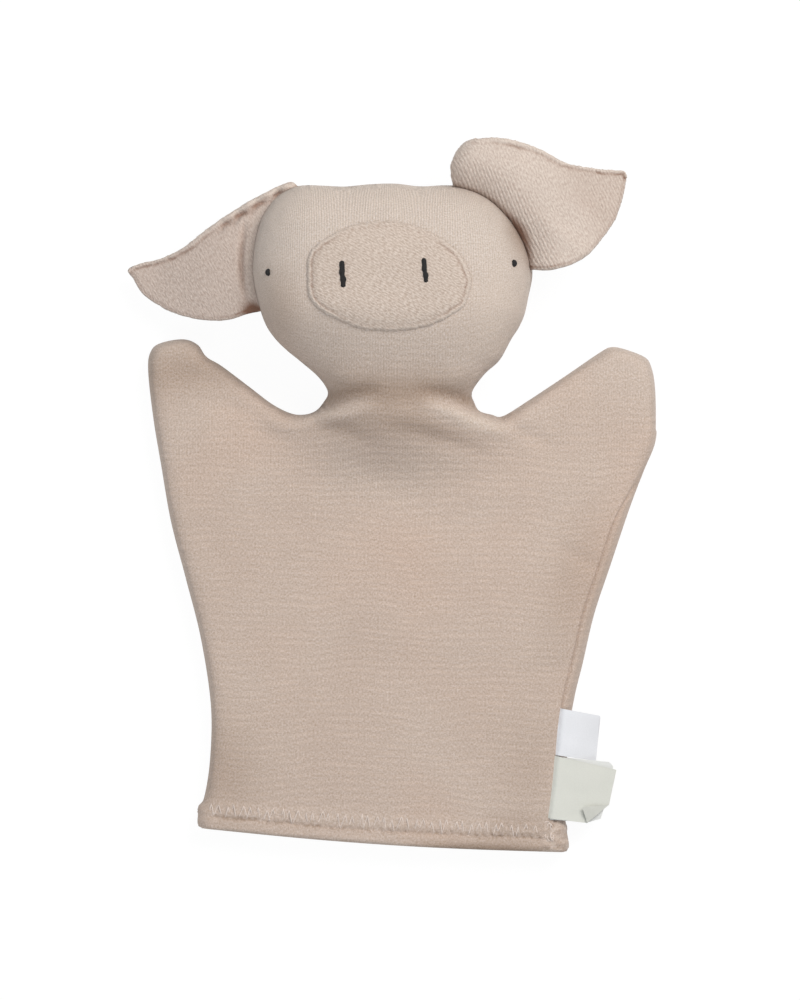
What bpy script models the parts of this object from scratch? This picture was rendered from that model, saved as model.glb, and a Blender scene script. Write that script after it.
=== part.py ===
"""Pig glove puppet, lying on its back with the face up.

Lengths are in millimetres until a mesh is made, then in metres. X runs to the right in the picture,
Y from the hem to the head, Z out of the face. Left and right are as seen from above.
"""
import math

import bmesh
import bpy
import numpy as np
from mathutils import Matrix, Vector
from mathutils.geometry import delaunay_2d_cdt

METRE = 0.001

# Cloth.
FABRIC = 1.3
TERRY = 1.6
GAP = 0.3
CUT_GAP = 0.5
WIDE_GAP = 0.9
SEAM_ROLL = 4.0
SEAM_ALLOWANCE = 6.0
SIDE_TOP = -20.0
SIDE_TURN = 40.0
SIDE_TAIL = 5.0
SEAM_CLEAR = 0.8
SEAM_LOW = 0.7
HEM_HEIGHT = 11.5
HEM_THICKNESS = 2.4

# Glove.
ARM_SPAN = 194.0
GLOVE_LENGTH = 165.0
GLOVE_X = 3.6
GLOVE_HALF_DEPTH = 6.8
GLOVE_EDGE = 10.0
SHOULDER_STRIP = 12.0
SHOULDER_ANGLE = 40.0
SHOULDER_REACH = 31.0
SHOULDER_LIFT = 3.0
NOTCH_LEFT_SHARE = (-0.405, 0.050)
NOTCH_RIGHT_SHARE = (0.375, 0.052)

# Neck and head.
NECK_X = 2.85
NECK_Y = 39.5
NECK_WIDTH = 55.5
NECK_HALF_DEPTH = 15.0
NECK_STRIP = 12.0
NECK_Z = 20.0
NECK_RISE_ACROSS = 70.0
NECK_RISE_ALONG = 42.0
NECK_EDGE_SHARE = 0.3
NECK_REACH_SHARE = 0.65
HEAD_REACH_SLOPE = 0.6
HEAD_WIDTH = 106.8
HEAD_HEIGHT = 79.3
HEAD_HALF_DEPTH = 26.0
HEAD_EDGE = 36.0
HEAD_FLAT = 0.5
HEAD_SWELL = 40.0

# Finger pocket.
POCKET_WIDTH = 25.0
POCKET_DEPTH = 17.0
POCKET_LENGTH = 46.0

# Face.
SNOUT_WIDTH = 61.6
SNOUT_HEIGHT = 41.4
SNOUT_X = -1.4
SNOUT_Y = 83.1
SNOUT_SEAT = 0.45
SNOUT_GRID = 8.0
SNOUT_CLEAR = 4.0
NOSTRIL_LENGTH = 10.0
NOSTRIL_WIDTH = 2.4
NOSTRIL_THICKNESS = 0.8
NOSTRIL_SPACING = 31.2
NOSTRIL_RISE = 1.0
NOSTRIL_STEP = 1.6
NOSTRIL_LEAN = 0.06
NOSTRIL_SEAT = 0.4
NOSTRIL_GRID = 3.0
NOSTRIL_CLEAR = 1.0
EYE_WIDTH = 2.2
EYE_HEIGHT = 3.0
EYE_THICKNESS = 0.9
EYE_SPACING = 93.0
EYE_X = -0.5
EYE_Y = 86.3
EYE_TURN = 2.1
EYE_SEAT = 0.4
EYE_PROBE = 0.5
EYE_POINTS = 12

# Ears.
EAR_LENGTH = 50.0
EAR_ROOT = 3.5
EAR_DROOP = 15.0
EAR_ROLL_HEIGHT = 14.0
EAR_ROLL_WIDTH = 11.0
EAR_ROLL_DROOP = 16.0
EAR_SEAT = 0.45
EAR_STEP = 6.0
EAR_RINGS = [(3.0, 2.0)]
EAR_GRID = 7.0
EAR_CLEAR = 3.5
EAR_CENTRE_SHARE = 0.45

# Labels.
LABEL_THICKNESS = 0.9
LABEL_SEAT = 0.5
CARE_LABEL_LENGTH = 16.0
CARE_LABEL_WIDTH = 17.5
CARE_LABEL_Y = -90.5
LOOP_LABEL_LENGTH = 24.0
LOOP_LABEL_WIDTH = 19.5
LOOP_LABEL_Y = -110.5
LABEL_DROOP = 7.0

# Outline of the glove: x as a share of half the arm span, y as a share of the glove's length down
# from the neck.
GLOVE_LEFT = [
    (-0.799, 1.004), (-0.803, 0.956), (-0.779, 0.933), (-0.756, 0.845), (-0.753, 0.721),
    (-0.792, 0.568), (-0.851, 0.430), (-0.909, 0.299), (-0.948, 0.168), (-0.979, 0.058),
    (-0.999, -0.051), (-0.988, -0.095), (-0.948, -0.115), (-0.858, -0.124), (-0.799, -0.111),
    (-0.764, -0.083), (-0.705, -0.062), (-0.592, -0.012), (-0.509, 0.025), (-0.439, 0.046),
    (-0.388, 0.050)]
GLOVE_RIGHT = [
    (0.353, 0.050), (0.396, 0.053), (0.498, 0.016),
    (0.639, -0.039), (0.779, -0.095), (0.823, -0.106), (0.874, -0.101), (0.952, -0.083),
    (0.979, -0.062), (0.995, -0.016), (0.999, 0.064), (0.992, 0.118), (0.948, 0.182),
    (0.894, 0.265), (0.815, 0.403), (0.753, 0.513), (0.709, 0.624), (0.678, 0.698),
    (0.654, 0.785), (0.643, 0.906), (0.640, 0.973), (0.646, 1.060)]
# Outline beside the neck: x as a share of half the neck's width, y as a share of its strip's height.
NECK_LEFT = [(-1.165, -0.575), (-1.057, -0.303), (-1.0, 0.0), (-1.123, 0.443)]
NECK_RIGHT = [(1.165, 0.542), (1.0, 0.0), (1.030, -0.330), (1.097, -0.578)]
# Outline of the head: x as a share of half the head's width, y as a share of its height.
HEAD_CURVE = [
    (-0.652, 0.139), (-0.758, 0.197), (-0.843, 0.255), (-0.908, 0.322),
    (-0.957, 0.417), (-0.993, 0.522), (-1.000, 0.623), (-0.979, 0.738), (-0.929, 0.844),
    (-0.837, 0.929), (-0.730, 0.977), (-0.624, 0.992), (-0.481, 0.990), (-0.337, 0.986),
    (-0.161, 0.997), (0.019, 1.000), (0.197, 0.987), (0.375, 0.992), (0.537, 0.982),
    (0.693, 0.934), (0.822, 0.854), (0.921, 0.758), (0.985, 0.652), (1.000, 0.556),
    (0.972, 0.455), (0.944, 0.369), (0.901, 0.303), (0.850, 0.250), (0.766, 0.149)]
# Outline of the snout patch as shares of half its width and height.
SNOUT_CURVE = [
    (-1.00, -0.01), (-0.92, 0.46), (-0.76, 0.68), (-0.44, 0.90), (-0.05, 1.00), (0.35, 0.87), (0.67, 0.61),
    (0.89, 0.30), (1.00, -0.11), (0.95, -0.42), (0.79, -0.66), (0.51, -0.88), (0.06, -1.00), (-0.37, -0.93),
    (-0.68, -0.74), (-0.87, -0.54), (-0.98, -0.30)]
# Free edges of the ears from the upper end of the base round the tip to its foot: across and out
# from the upper end of the base, as shares of the ear's length, in X and Y.
EAR_LEFT_TOP = (-0.674, 0.990)
EAR_LEFT_FOOT = (-0.947, 0.440)
EAR_LEFT_EDGE = [
    (-0.13, 0.0), (-0.26, -0.064), (-0.45, -0.172), (-0.65, -0.304), (-0.86, -0.465), (-1.03, -0.55),
    (-1.21, -0.594), (-1.29, -0.64), (-1.25, -0.71), (-1.17, -0.83), (-0.99, -0.945), (-0.83, -1.00),
    (-0.68, -1.025), (-0.52, -1.02), (-0.39, -0.98)]
EAR_RIGHT_TOP = (0.449, 0.990)
EAR_RIGHT_FOOT = (1.000, 0.586)
EAR_RIGHT_EDGE = [
    (-0.02, 0.13), (0.03, 0.25), (0.10, 0.315), (0.20, 0.345), (0.36, 0.345), (0.55, 0.296),
    (0.69, 0.234), (0.82, 0.163), (0.97, 0.128), (1.17, 0.107), (1.27, 0.103), (1.293, 0.07),
    (1.285, 0.0), (1.26, -0.116), (1.21, -0.264), (1.10, -0.424), (0.985, -0.55), (0.84, -0.624),
    (0.69, -0.655)]

# Mesh.
SPAN_POINTS = 2
FINE_POINTS = 30
RINGS = [(0.9, 0.7), (3.0, 1.7), (7.5, 3.8), (14.0, 6.0), (22.0, 8.0)]
GRID = 13.0
GRID_CLEAR = 6.5
RING_STEP = 2.0
CUT_STEP = 8.0
NECK_STEP = 7.0
HEM_STEP = 10.0
SEAM_STEP = 9.0
CUT_OVER = 0.02
HEM_OVER = 0.05

COLOURS = {
    "jersey": (0.55, 0.45, 0.38), "terry": (0.60, 0.50, 0.43), "thread": (0.02, 0.02, 0.02),
    "white": (0.80, 0.80, 0.80), "cream": (0.72, 0.68, 0.60), "fill": (0.85, 0.84, 0.82),
    "lining": (0.62, 0.55, 0.48)}


def smooth(t):
    t = np.clip(t, 0.0, 1.0)
    return t * t * (3.0 - 2.0 * t)


def dome(t):
    """Rise from 0 at an edge to 1 inside it, steep at the edge and level at the end."""
    return np.sqrt(np.clip(1.0 - (1.0 - np.clip(t, 0.0, 1.0)) ** 2, 0.0, 1.0))


def curve(points, count, closed=False):
    """A smooth line through the points, with count steps in each span."""
    pts = np.array(points, dtype=float)
    if closed:
        pts = np.vstack([pts[-1:], pts, pts[:2]])
    else:
        pts = np.vstack([2.0 * pts[0] - pts[1], pts, 2.0 * pts[-1] - pts[-2]])
    line = []
    for a, b, c, d in zip(pts[:-3], pts[1:-2], pts[2:-1], pts[3:]):
        for t in np.arange(count) / count:
            line.append(0.5 * (2.0 * b + (c - a) * t + (2.0 * a - 5.0 * b + 4.0 * c - d) * t ** 2
                               + (3.0 * b - a - 3.0 * c + d) * t ** 3))
    if not closed:
        line.append(pts[-2])
    return np.array(line)


def inside(polygon, points):
    x, y = points[:, 0:1], points[:, 1:2]
    x1, y1 = polygon[:, 0], polygon[:, 1]
    x2, y2 = np.roll(x1, -1), np.roll(y1, -1)
    rise = np.where(y2 == y1, 1e-12, y2 - y1)
    crossing = ((y1 > y) != (y2 > y)) & (x < (x2 - x1) * (y - y1) / rise + x1)
    return crossing.sum(axis=1) % 2 == 1


def soft_distance(line, points):
    """Distance to a line, rounded where two stretches of it are equally near."""
    middle = 0.5 * (line[1:] + line[:-1])
    length = np.linalg.norm(line[1:] - line[:-1], axis=1)
    gap = np.linalg.norm(points[:, None, :] - middle[None, :, :], axis=2)
    near = gap.min(axis=1)
    pull = (length / np.maximum(gap, 0.05) ** 4).sum(axis=1) / (0.5 * math.pi)
    return np.minimum(near, pull ** (-1.0 / 3.0))


def offset_line(line, amount):
    """The line moved to its right by the amount at each point."""
    step = np.gradient(line, axis=0)
    step = step / np.linalg.norm(step, axis=1)[:, None]
    side = np.stack([step[:, 1], -step[:, 0]], axis=1)
    return line + side * np.reshape(amount, (-1, 1))


def resample(line, spacing):
    steps = np.linalg.norm(np.diff(line, axis=0), axis=1)
    reach = np.concatenate([[0.0], np.cumsum(steps)])
    count = max(2, int(round(reach[-1] / spacing)) + 1)
    at = np.linspace(0.0, reach[-1], count)
    return np.stack([np.interp(at, reach, line[:, 0]), np.interp(at, reach, line[:, 1])], axis=1)


def triangulate(outline, lines, rings, grid, clear, rim=None):
    """Triangles that fill an outline, with edges along the lines and rings of points near the rim."""
    points = [tuple(p) for p in outline]
    edges = [(i, (i + 1) % len(points)) for i in range(len(points))]
    for line in lines:
        start = len(points)
        points += [tuple(p) for p in line]
        edges += [(start + i, start + i + 1) for i in range(len(line) - 1)]
    kept = np.array(points)
    closed = np.vstack([outline, outline[:1]])
    for depth, room in rings:
        for p in resample(offset_line(closed, depth), max(RING_STEP, 1.1 * depth)):
            if not inside(outline, p[None])[0]:
                continue
            if rim is not None and soft_distance(rim, p[None])[0] > 1.4 * depth:
                continue
            away = np.linalg.norm(kept[:len(outline)] - p, axis=1).min()
            if away < 0.8 * depth or np.linalg.norm(kept - p, axis=1).min() < room:
                continue
            kept = np.vstack([kept, p])
    low, high = outline.min(axis=0), outline.max(axis=0)
    row = 0
    for y in np.arange(low[1], high[1], grid * 0.87):
        row += 1
        for x in np.arange(low[0] + (row % 2) * grid / 2.0, high[0], grid):
            p = np.array([x, y])
            if inside(outline, p[None])[0] and np.linalg.norm(kept - p, axis=1).min() > clear:
                kept = np.vstack([kept, p])
    made = delaunay_2d_cdt([Vector(p) for p in kept], edges, [], 1, 1e-5, False)
    verts = np.array([tuple(v) for v in made[0]])
    faces = np.array([tuple(f) for f in made[2]])
    centre = verts[faces].mean(axis=1)
    return verts, faces[inside(outline, centre)]


def face_normals(points, faces):
    a, b, c = points[faces[:, 0]], points[faces[:, 1]], points[faces[:, 2]]
    return np.cross(b - a, c - a)


def vertex_normals(points, faces):
    total = np.zeros_like(points)
    flat = face_normals(points, faces)
    for corner in range(3):
        np.add.at(total, faces[:, corner], flat)
    size = np.linalg.norm(total, axis=1)
    return total / np.maximum(size, 1e-12)[:, None]


def rim_edges(faces):
    """Edges that only one face uses, in that face's direction."""
    seen = {}
    for face in faces:
        for a, b in zip(face, np.roll(face, -1)):
            seen[(int(a), int(b))] = True
    return [e for e in seen if (e[1], e[0]) not in seen]


def pull_back(points, faces, amount):
    """Move the rim of a sheet inwards, along the sheet."""
    moved = points.copy()
    shift = np.zeros_like(points)
    flat = face_normals(points, faces)
    owner = {}
    for face, normal in zip(faces, flat):
        for a, b in zip(face, np.roll(face, -1)):
            owner[(int(a), int(b))] = normal
    for a, b in rim_edges(faces):
        inward = np.cross(owner[(a, b)], points[b] - points[a])
        inward = inward / max(np.linalg.norm(inward), 1e-12)
        shift[a] += inward
        shift[b] += inward
    size = np.linalg.norm(shift, axis=1)
    at = size > 1e-9
    stretch = np.minimum(2.0 / np.maximum(size[at], 1e-9), 2.0)
    moved[at] += shift[at] / size[at][:, None] * (amount * stretch)[:, None]
    return moved


def rim_walls(faces, count):
    """Triangles between the rims of two layers, divided alike on both sides of a cut."""
    walls = []
    for a, b in rim_edges(faces):
        if a < b:
            walls += [(b, a, b + count), (a, a + count, b + count)]
        else:
            walls += [(b, a, a + count), (b, a + count, b + count)]
    return walls


def sheet_solid(points, faces, normals, upper, lower, gap=CUT_GAP):
    """A closed solid between two depths along the normals of a sheet."""
    used = np.unique(faces)
    index = np.full(len(points), -1)
    index[used] = np.arange(len(used))
    faces = index[faces]
    base = pull_back(points[used], faces, gap / 2.0)
    base[:, 2] = np.maximum(base[:, 2], 0.0)
    top = base + normals[used] * upper
    under = base + normals[used] * lower
    count = len(used)
    solid = [tuple(f) for f in faces]
    solid += [tuple(f[::-1] + count) for f in faces]
    return np.vstack([top, under]), solid + rim_walls(faces, count)


def material(name):
    found = bpy.data.materials.get(name)
    if found:
        return found
    made = bpy.data.materials.new(name)
    made.use_nodes = True
    shader = made.node_tree.nodes["Principled BSDF"]
    shader.inputs["Base Color"].default_value = (*COLOURS[name], 1.0)
    shader.inputs["Roughness"].default_value = 0.9
    return made


def add_mesh(name, points, faces, look, hidden=False):
    mesh = bpy.data.meshes.new(name)
    mesh.from_pydata([tuple(np.array(p) * METRE) for p in points], [], [tuple(map(int, f)) for f in faces])
    mesh.validate()
    work = bmesh.new()
    work.from_mesh(mesh)
    bmesh.ops.recalc_face_normals(work, faces=work.faces)
    if work.calc_volume(signed=True) < 0.0:
        bmesh.ops.reverse_faces(work, faces=work.faces)
    work.to_mesh(mesh)
    work.free()
    mesh.shade_smooth()
    mesh.set_sharp_from_angle(angle=math.radians(50.0))
    made = bpy.data.objects.new(name, mesh)
    bpy.context.scene.collection.objects.link(made)
    mesh.materials.append(material(look))
    if hidden:
        made.hide_render = True
        made.display_type = "WIRE"
    return made


def cut(target, cutter, operation):
    change = target.modifiers.new(cutter.name, "BOOLEAN")
    change.operation = operation
    change.solver = "EXACT"
    change.object = cutter


def patch(name, outline, lower, upper, look, grid, clear):
    """A flat piece with this outline, laid on a surface between two height functions."""
    verts, faces = triangulate(outline, [], [], grid, clear)
    count = len(verts)
    top = np.column_stack([verts, upper(verts)])
    under = np.column_stack([verts, lower(verts)])
    solid = [tuple(f) for f in faces]
    solid += [tuple(f[::-1] + count) for f in faces]
    return add_mesh(name, np.vstack([top, under]), solid + rim_walls(faces, count), look)


for old in list(bpy.data.objects):
    bpy.data.objects.remove(old, do_unlink=True)

# Outline of the whole puppet, from the lower left of the hem over the head to its lower right.
HALF_SPAN = ARM_SPAN / 2.0
GLOVE_Z = GLOVE_HALF_DEPTH
HEAD_Z = HEAD_HALF_DEPTH - HEAD_FLAT
NECK_LOW = NECK_Y - NECK_STRIP / 2.0
NECK_HIGH = NECK_Y + NECK_STRIP / 2.0


def glove_point(p):
    return (GLOVE_X + p[0] * HALF_SPAN, NECK_Y - p[1] * GLOVE_LENGTH)


def head_point(p):
    return (p[0] * HEAD_WIDTH / 2.0, NECK_Y + p[1] * HEAD_HEIGHT)


def neck_point(p):
    return (NECK_X + p[0] * NECK_WIDTH / 2.0, NECK_Y + p[1] * NECK_STRIP)


CONTROL = [glove_point(p) for p in GLOVE_LEFT]
CONTROL += [neck_point(p) for p in NECK_LEFT]
CONTROL += [head_point(p) for p in HEAD_CURVE]
CONTROL += [neck_point(p) for p in NECK_RIGHT]
CONTROL += [glove_point(p) for p in GLOVE_RIGHT]
OUTLINE = curve(CONTROL, SPAN_POINTS)
FINE = curve(CONTROL, FINE_POINTS)
HEM_LEFT = np.array(CONTROL[0])
HEM_RIGHT = np.array(CONTROL[-1])
HEM_WIDTH = np.linalg.norm(HEM_RIGHT - HEM_LEFT)
HEM_ALONG = (HEM_RIGHT - HEM_LEFT) / HEM_WIDTH
HEM_UP = np.array([-HEM_ALONG[1], HEM_ALONG[0]])


def neck_share(points):
    """How far the cloth is lifted towards the neck, from 0 on the flat glove to 1."""
    across = (points[:, 0] - NECK_X) / NECK_RISE_ACROSS
    along = np.minimum(points[:, 1] - NECK_LOW, 0.0) / NECK_RISE_ALONG
    return smooth(1.0 - np.hypot(across, along))


def is_head(points):
    spread = NECK_REACH_SHARE * NECK_WIDTH + HEAD_REACH_SLOPE * (points[:, 1] - NECK_LOW)
    return (points[:, 1] > NECK_LOW) & (np.abs(points[:, 0] - NECK_X) < spread)


def head_share(points):
    return np.where(is_head(points), smooth((points[:, 1] - NECK_LOW) / HEAD_SWELL), 0.0)


def middle_height(points):
    """Height of the side seam."""
    low = GLOVE_Z + (NECK_Z - GLOVE_Z) * neck_share(points)
    high = NECK_Z + (HEAD_Z - NECK_Z) * smooth((points[:, 1] - NECK_LOW) / HEAD_SWELL)
    up = np.where(is_head(points), smooth((points[:, 1] - NECK_LOW) / NECK_STRIP), 0.0)
    return low + (high - low) * up


def half_depth(points):
    """Half the puppet's thickness, nought at the outline."""
    neck = neck_share(points)
    head = head_share(points)
    full = GLOVE_HALF_DEPTH + (NECK_HALF_DEPTH - GLOVE_HALF_DEPTH) * neck
    full = full + (HEAD_HALF_DEPTH - full) * head
    edge = GLOVE_EDGE + (HEAD_EDGE - GLOVE_EDGE) * np.maximum(head, NECK_EDGE_SHARE * neck)
    return full * dome(soft_distance(FINE, points) / edge)


def front_height(points):
    return middle_height(points) + half_depth(points)


# Lines along which the cloth is divided.
def roll_width(y):
    """How far the side seam lies in from the outline, nought at the arms."""
    return SEAM_ROLL * smooth((SIDE_TOP - y) / SIDE_TURN)


side_left = FINE[(FINE[:, 0] < GLOVE_X) & (FINE[:, 1] < SIDE_TOP)]
side_right = FINE[(FINE[:, 0] > GLOVE_X) & (FINE[:, 1] < SIDE_TOP)]
below = -np.linspace(0.2, 1.0, 5)[:, None] * SIDE_TAIL * HEM_UP
side_left = np.vstack([HEM_LEFT + below[::-1], side_left])
side_right = np.vstack([side_right, HEM_RIGHT + below])
seam_left = offset_line(side_left, roll_width(side_left[:, 1]))
seam_right = offset_line(side_right, roll_width(side_right[:, 1]))
tape_left = offset_line(side_left, roll_width(side_left[:, 1]) + SEAM_ALLOWANCE)
tape_right = offset_line(side_right, roll_width(side_right[:, 1]) + SEAM_ALLOWANCE)

lean = math.radians(SHOULDER_ANGLE)
NOTCH_LEFT = np.array(glove_point(NOTCH_LEFT_SHARE))
NOTCH_RIGHT = np.array(glove_point(NOTCH_RIGHT_SHARE))
ALONG_LEFT = np.array([-math.cos(lean), -math.sin(lean)])
ALONG_RIGHT = np.array([math.cos(lean), -math.sin(lean)])
OUT_LEFT = np.array([-math.sin(lean), math.cos(lean)])
OUT_RIGHT = np.array([math.sin(lean), math.cos(lean)])


def clipped(start, along):
    """The stretch of a straight line inside the glove that holds the shoulder's middle."""
    at = np.linspace(-1.3, 3.6, 3001) * SHOULDER_REACH
    line = start + at[:, None] * along
    held = inside(OUTLINE, line) & (line[:, 1] < NECK_LOW)
    middle = int(np.argmin(np.abs(at - SHOULDER_REACH)))
    first = middle
    while held[first]:
        first -= 1
    last = middle
    while held[last]:
        last += 1
    return resample(np.array([line[first], line[last]]), CUT_STEP)


cuts = []
for side in (-0.5, 0.5):
    cuts.append(clipped(NOTCH_LEFT + OUT_LEFT * SHOULDER_STRIP * side, ALONG_LEFT))
    cuts.append(clipped(NOTCH_RIGHT + OUT_RIGHT * SHOULDER_STRIP * side, ALONG_RIGHT))
for height in (NECK_LOW, NECK_HIGH):
    across = NECK_WIDTH / 2.0 + NECK_STRIP
    row = np.column_stack([NECK_X + np.linspace(-across, across, 2001), np.full(2001, height)])
    row = row[inside(OUTLINE, row) & (np.abs(row[:, 0] - NECK_X) < NECK_REACH_SHARE * NECK_WIDTH)]
    cuts.append(resample(np.array([row[0] - (CUT_OVER, 0.0), row[-1] + (CUT_OVER, 0.0)]), NECK_STEP))
hem_row = HEM_LEFT + HEM_UP * HEM_HEIGHT + np.linspace(-0.1, 1.15, 3001)[:, None] * HEM_WIDTH * HEM_ALONG
hem_row = hem_row[inside(OUTLINE, hem_row)]
hem_ends = np.array([hem_row[0] - HEM_OVER * HEM_ALONG, hem_row[-1] + HEM_OVER * HEM_ALONG])
cuts.append(resample(hem_ends, HEM_STEP))
for line in (seam_left, seam_right, tape_left, tape_right):
    held = (soft_distance(FINE, line) > SEAM_CLEAR) & ((line - HEM_LEFT) @ HEM_UP > -SEAM_LOW)
    cuts.append(resample(line[held], SEAM_STEP))

mouth_edge = resample(np.array([HEM_RIGHT, HEM_LEFT]), GRID)[1:-1]
flat, flat_faces = triangulate(np.vstack([OUTLINE, mouth_edge]), cuts, RINGS, GRID, GRID_CLEAR, FINE)

# The skin: the front and the back sheet, joined along the outline except at the hem's mouth.
count = len(flat)
on_rim = np.zeros(count, dtype=bool)
at_mouth = np.zeros(count, dtype=bool)
for a, b in rim_edges(flat_faces):
    low = abs(np.dot(flat[a] - HEM_LEFT, HEM_UP)) < 0.05 and abs(np.dot(flat[b] - HEM_LEFT, HEM_UP)) < 0.05
    for v in (a, b):
        if low:
            at_mouth[v] = True
        else:
            on_rim[v] = True
middle = middle_height(flat)
depth = half_depth(flat)
depth[on_rim] = 0.0
front = np.column_stack([flat, middle + depth])
back = np.column_stack([flat, np.maximum(middle - depth, 0.0)])
SKIN = np.vstack([front, back])
back_index = np.where(on_rim, np.arange(count), np.arange(count) + count)
SKIN_FACES = np.vstack([flat_faces, back_index[flat_faces][:, ::-1]])
NORMALS = vertex_normals(SKIN, SKIN_FACES)
for v in np.flatnonzero(at_mouth):
    for side in (v, v + count):
        level = NORMALS[side].copy()
        level[:2] -= HEM_UP * np.dot(level[:2], HEM_UP)
        NORMALS[side] = level / max(np.linalg.norm(level), 1e-9)

# Each triangle's zone and side.
centre = flat[flat_faces].mean(axis=1)
from_left = (centre - NOTCH_LEFT) @ OUT_LEFT
from_right = (centre - NOTCH_RIGHT) @ OUT_RIGHT
above_hem = (centre - HEM_LEFT) @ HEM_UP
zone = np.full(len(centre), "panel", dtype=object)
left_half = centre[:, 0] < GLOVE_X
strip = SHOULDER_STRIP / 2.0
zone[left_half & (from_left > strip)] = "arm_left"
zone[left_half & (np.abs(from_left) <= strip)] = "shoulder_left"
zone[~left_half & (from_right > strip)] = "arm_right"
zone[~left_half & (np.abs(from_right) <= strip)] = "shoulder_right"
zone[above_hem < HEM_HEIGHT] = "hem"
heads = is_head(centre)
zone[heads & (centre[:, 1] < NECK_HIGH)] = "neck"
zone[heads & (centre[:, 1] >= NECK_HIGH)] = "head"
rolled_left = inside(np.vstack([side_left, seam_left[::-1]]), centre)
rolled_right = inside(np.vstack([side_right, seam_right[::-1]]), centre)
taped_left = inside(np.vstack([seam_left, tape_left[::-1]]), centre)
taped_right = inside(np.vstack([seam_right, tape_right[::-1]]), centre)

zones = np.concatenate([zone, zone])
is_front = np.concatenate([~rolled_right, rolled_left])


def skin_solid(name, chosen, upper, lower, look, gap=CUT_GAP):
    points, faces = sheet_solid(SKIN, SKIN_FACES[chosen], NORMALS, -upper, -lower, gap)
    return add_mesh(name, points, faces, look)


for label, stem in (("panel", "{}_panel"), ("hem", "hem_{}"), ("neck", "neck_{}"), ("head", "head_{}"),
                    ("arm_left", "arm_left_{}"), ("arm_right", "arm_right_{}"),
                    ("shoulder_left", "shoulder_left_{}"), ("shoulder_right", "shoulder_right_{}")):
    thick = HEM_THICKNESS if label == "hem" else FABRIC
    room = WIDE_GAP if label == "hem" else CUT_GAP
    skin_solid(stem.format("front"), (zones == label) & is_front, 0.0, thick, "jersey", room)
    skin_solid(stem.format("back"), (zones == label) & ~is_front, 0.0, thick, "jersey", room)

# Seam allowances: the left one lies on the back panel, the right one under the front panel.
nothing = np.zeros(len(centre), dtype=bool)
panel = zone == "panel"
for name, chosen in (("seam_left", np.concatenate([nothing, taped_left & panel])),
                     ("seam_right", np.concatenate([taped_right & panel, nothing]))):
    skin_solid(name, chosen, FABRIC + GAP, 3.0 * FABRIC + GAP, "jersey")


# Stuffing and finger pocket.
def head_core(name, low, high, look, hidden=False):
    """The room inside the head's cloth between two heights, as a solid."""
    chosen = SKIN_FACES[(zones == "head") | (zones == "neck")]
    points = SKIN - NORMALS * (FABRIC + GAP)
    used = np.unique(chosen)
    index = np.full(len(points), -1)
    index[used] = np.arange(len(used))
    work = bmesh.new()
    verts = [work.verts.new(points[v]) for v in used]
    for face in index[chosen]:
        work.faces.new([verts[v] for v in face])
    for level, outer in ((low, False), (high, True)):
        if level is None:
            continue
        everything = work.verts[:] + work.edges[:] + work.faces[:]
        bmesh.ops.bisect_plane(work, geom=everything, plane_co=(0.0, level, 0.0), plane_no=(0.0, 1.0, 0.0),
                               clear_inner=not outer, clear_outer=outer)
        at_level = {v for v in work.verts if abs(v.co.y - level) < 1e-3}
        open_edges = [e for e in work.edges if e.is_boundary and at_level.issuperset(e.verts)]
        bmesh.ops.holes_fill(work, edges=open_edges, sides=0)
    bmesh.ops.triangulate(work, faces=work.faces[:])
    work.verts.index_update()
    points = [tuple(v.co) for v in work.verts]
    faces = [tuple(v.index for v in f.verts) for f in work.faces]
    work.free()
    return add_mesh(name, points, faces, look, hidden)


def tube(name, width, deep, start, end, hidden, look="lining", ring_points=20):
    """A finger shaped solid that follows the head's seam height, with a rounded far end."""
    length = end - start
    stations = [(start, 1.0), (start + 0.25 * length, 1.0), (start + 0.5 * length, 1.0)]
    stations += [(start + 0.75 * length, 0.97), (start + 0.9 * length, 0.8), (end, 0.42)]
    points = []
    for y, share in stations:
        z = middle_height(np.array([[NECK_X, y]]))[0]
        for turn in np.arange(ring_points) * 2.0 * math.pi / ring_points:
            points.append((NECK_X + share * width / 2.0 * math.cos(turn), y,
                           z + share * deep / 2.0 * math.sin(turn)))
    faces = [tuple(range(ring_points)), tuple(range(len(points) - 1, len(points) - 1 - ring_points, -1))]
    for row in range(len(stations) - 1):
        for i in range(ring_points):
            a = row * ring_points + i
            b = row * ring_points + (i + 1) % ring_points
            faces.append((a, b, b + ring_points, a + ring_points))
    return add_mesh(name, points, faces, look, hidden)


BORE_OVER = 2.0
mouth = NECK_HIGH + FABRIC + GAP
pocket = head_core("finger_pocket", mouth, mouth + FABRIC, "lining")
tip = mouth + POCKET_LENGTH
pocket_body = tube("pocket_body", POCKET_WIDTH, POCKET_DEPTH, mouth + 0.5 * FABRIC, tip, True)
pocket_bore = tube("pocket_bore", POCKET_WIDTH - 2.0 * FABRIC, POCKET_DEPTH - 2.0 * FABRIC,
                   mouth - BORE_OVER, tip - 1.5 * FABRIC, True)
cut(pocket, pocket_body, "UNION")
cut(pocket, pocket_bore, "DIFFERENCE")
stuffing = head_core("head_stuffing", mouth + FABRIC + GAP, None, "fill")
pocket_room = tube("pocket_room", POCKET_WIDTH + 2.0 * GAP, POCKET_DEPTH + 2.0 * GAP, mouth - BORE_OVER,
                   tip + 1.5 * GAP, True)
cut(stuffing, pocket_room, "DIFFERENCE")

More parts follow.
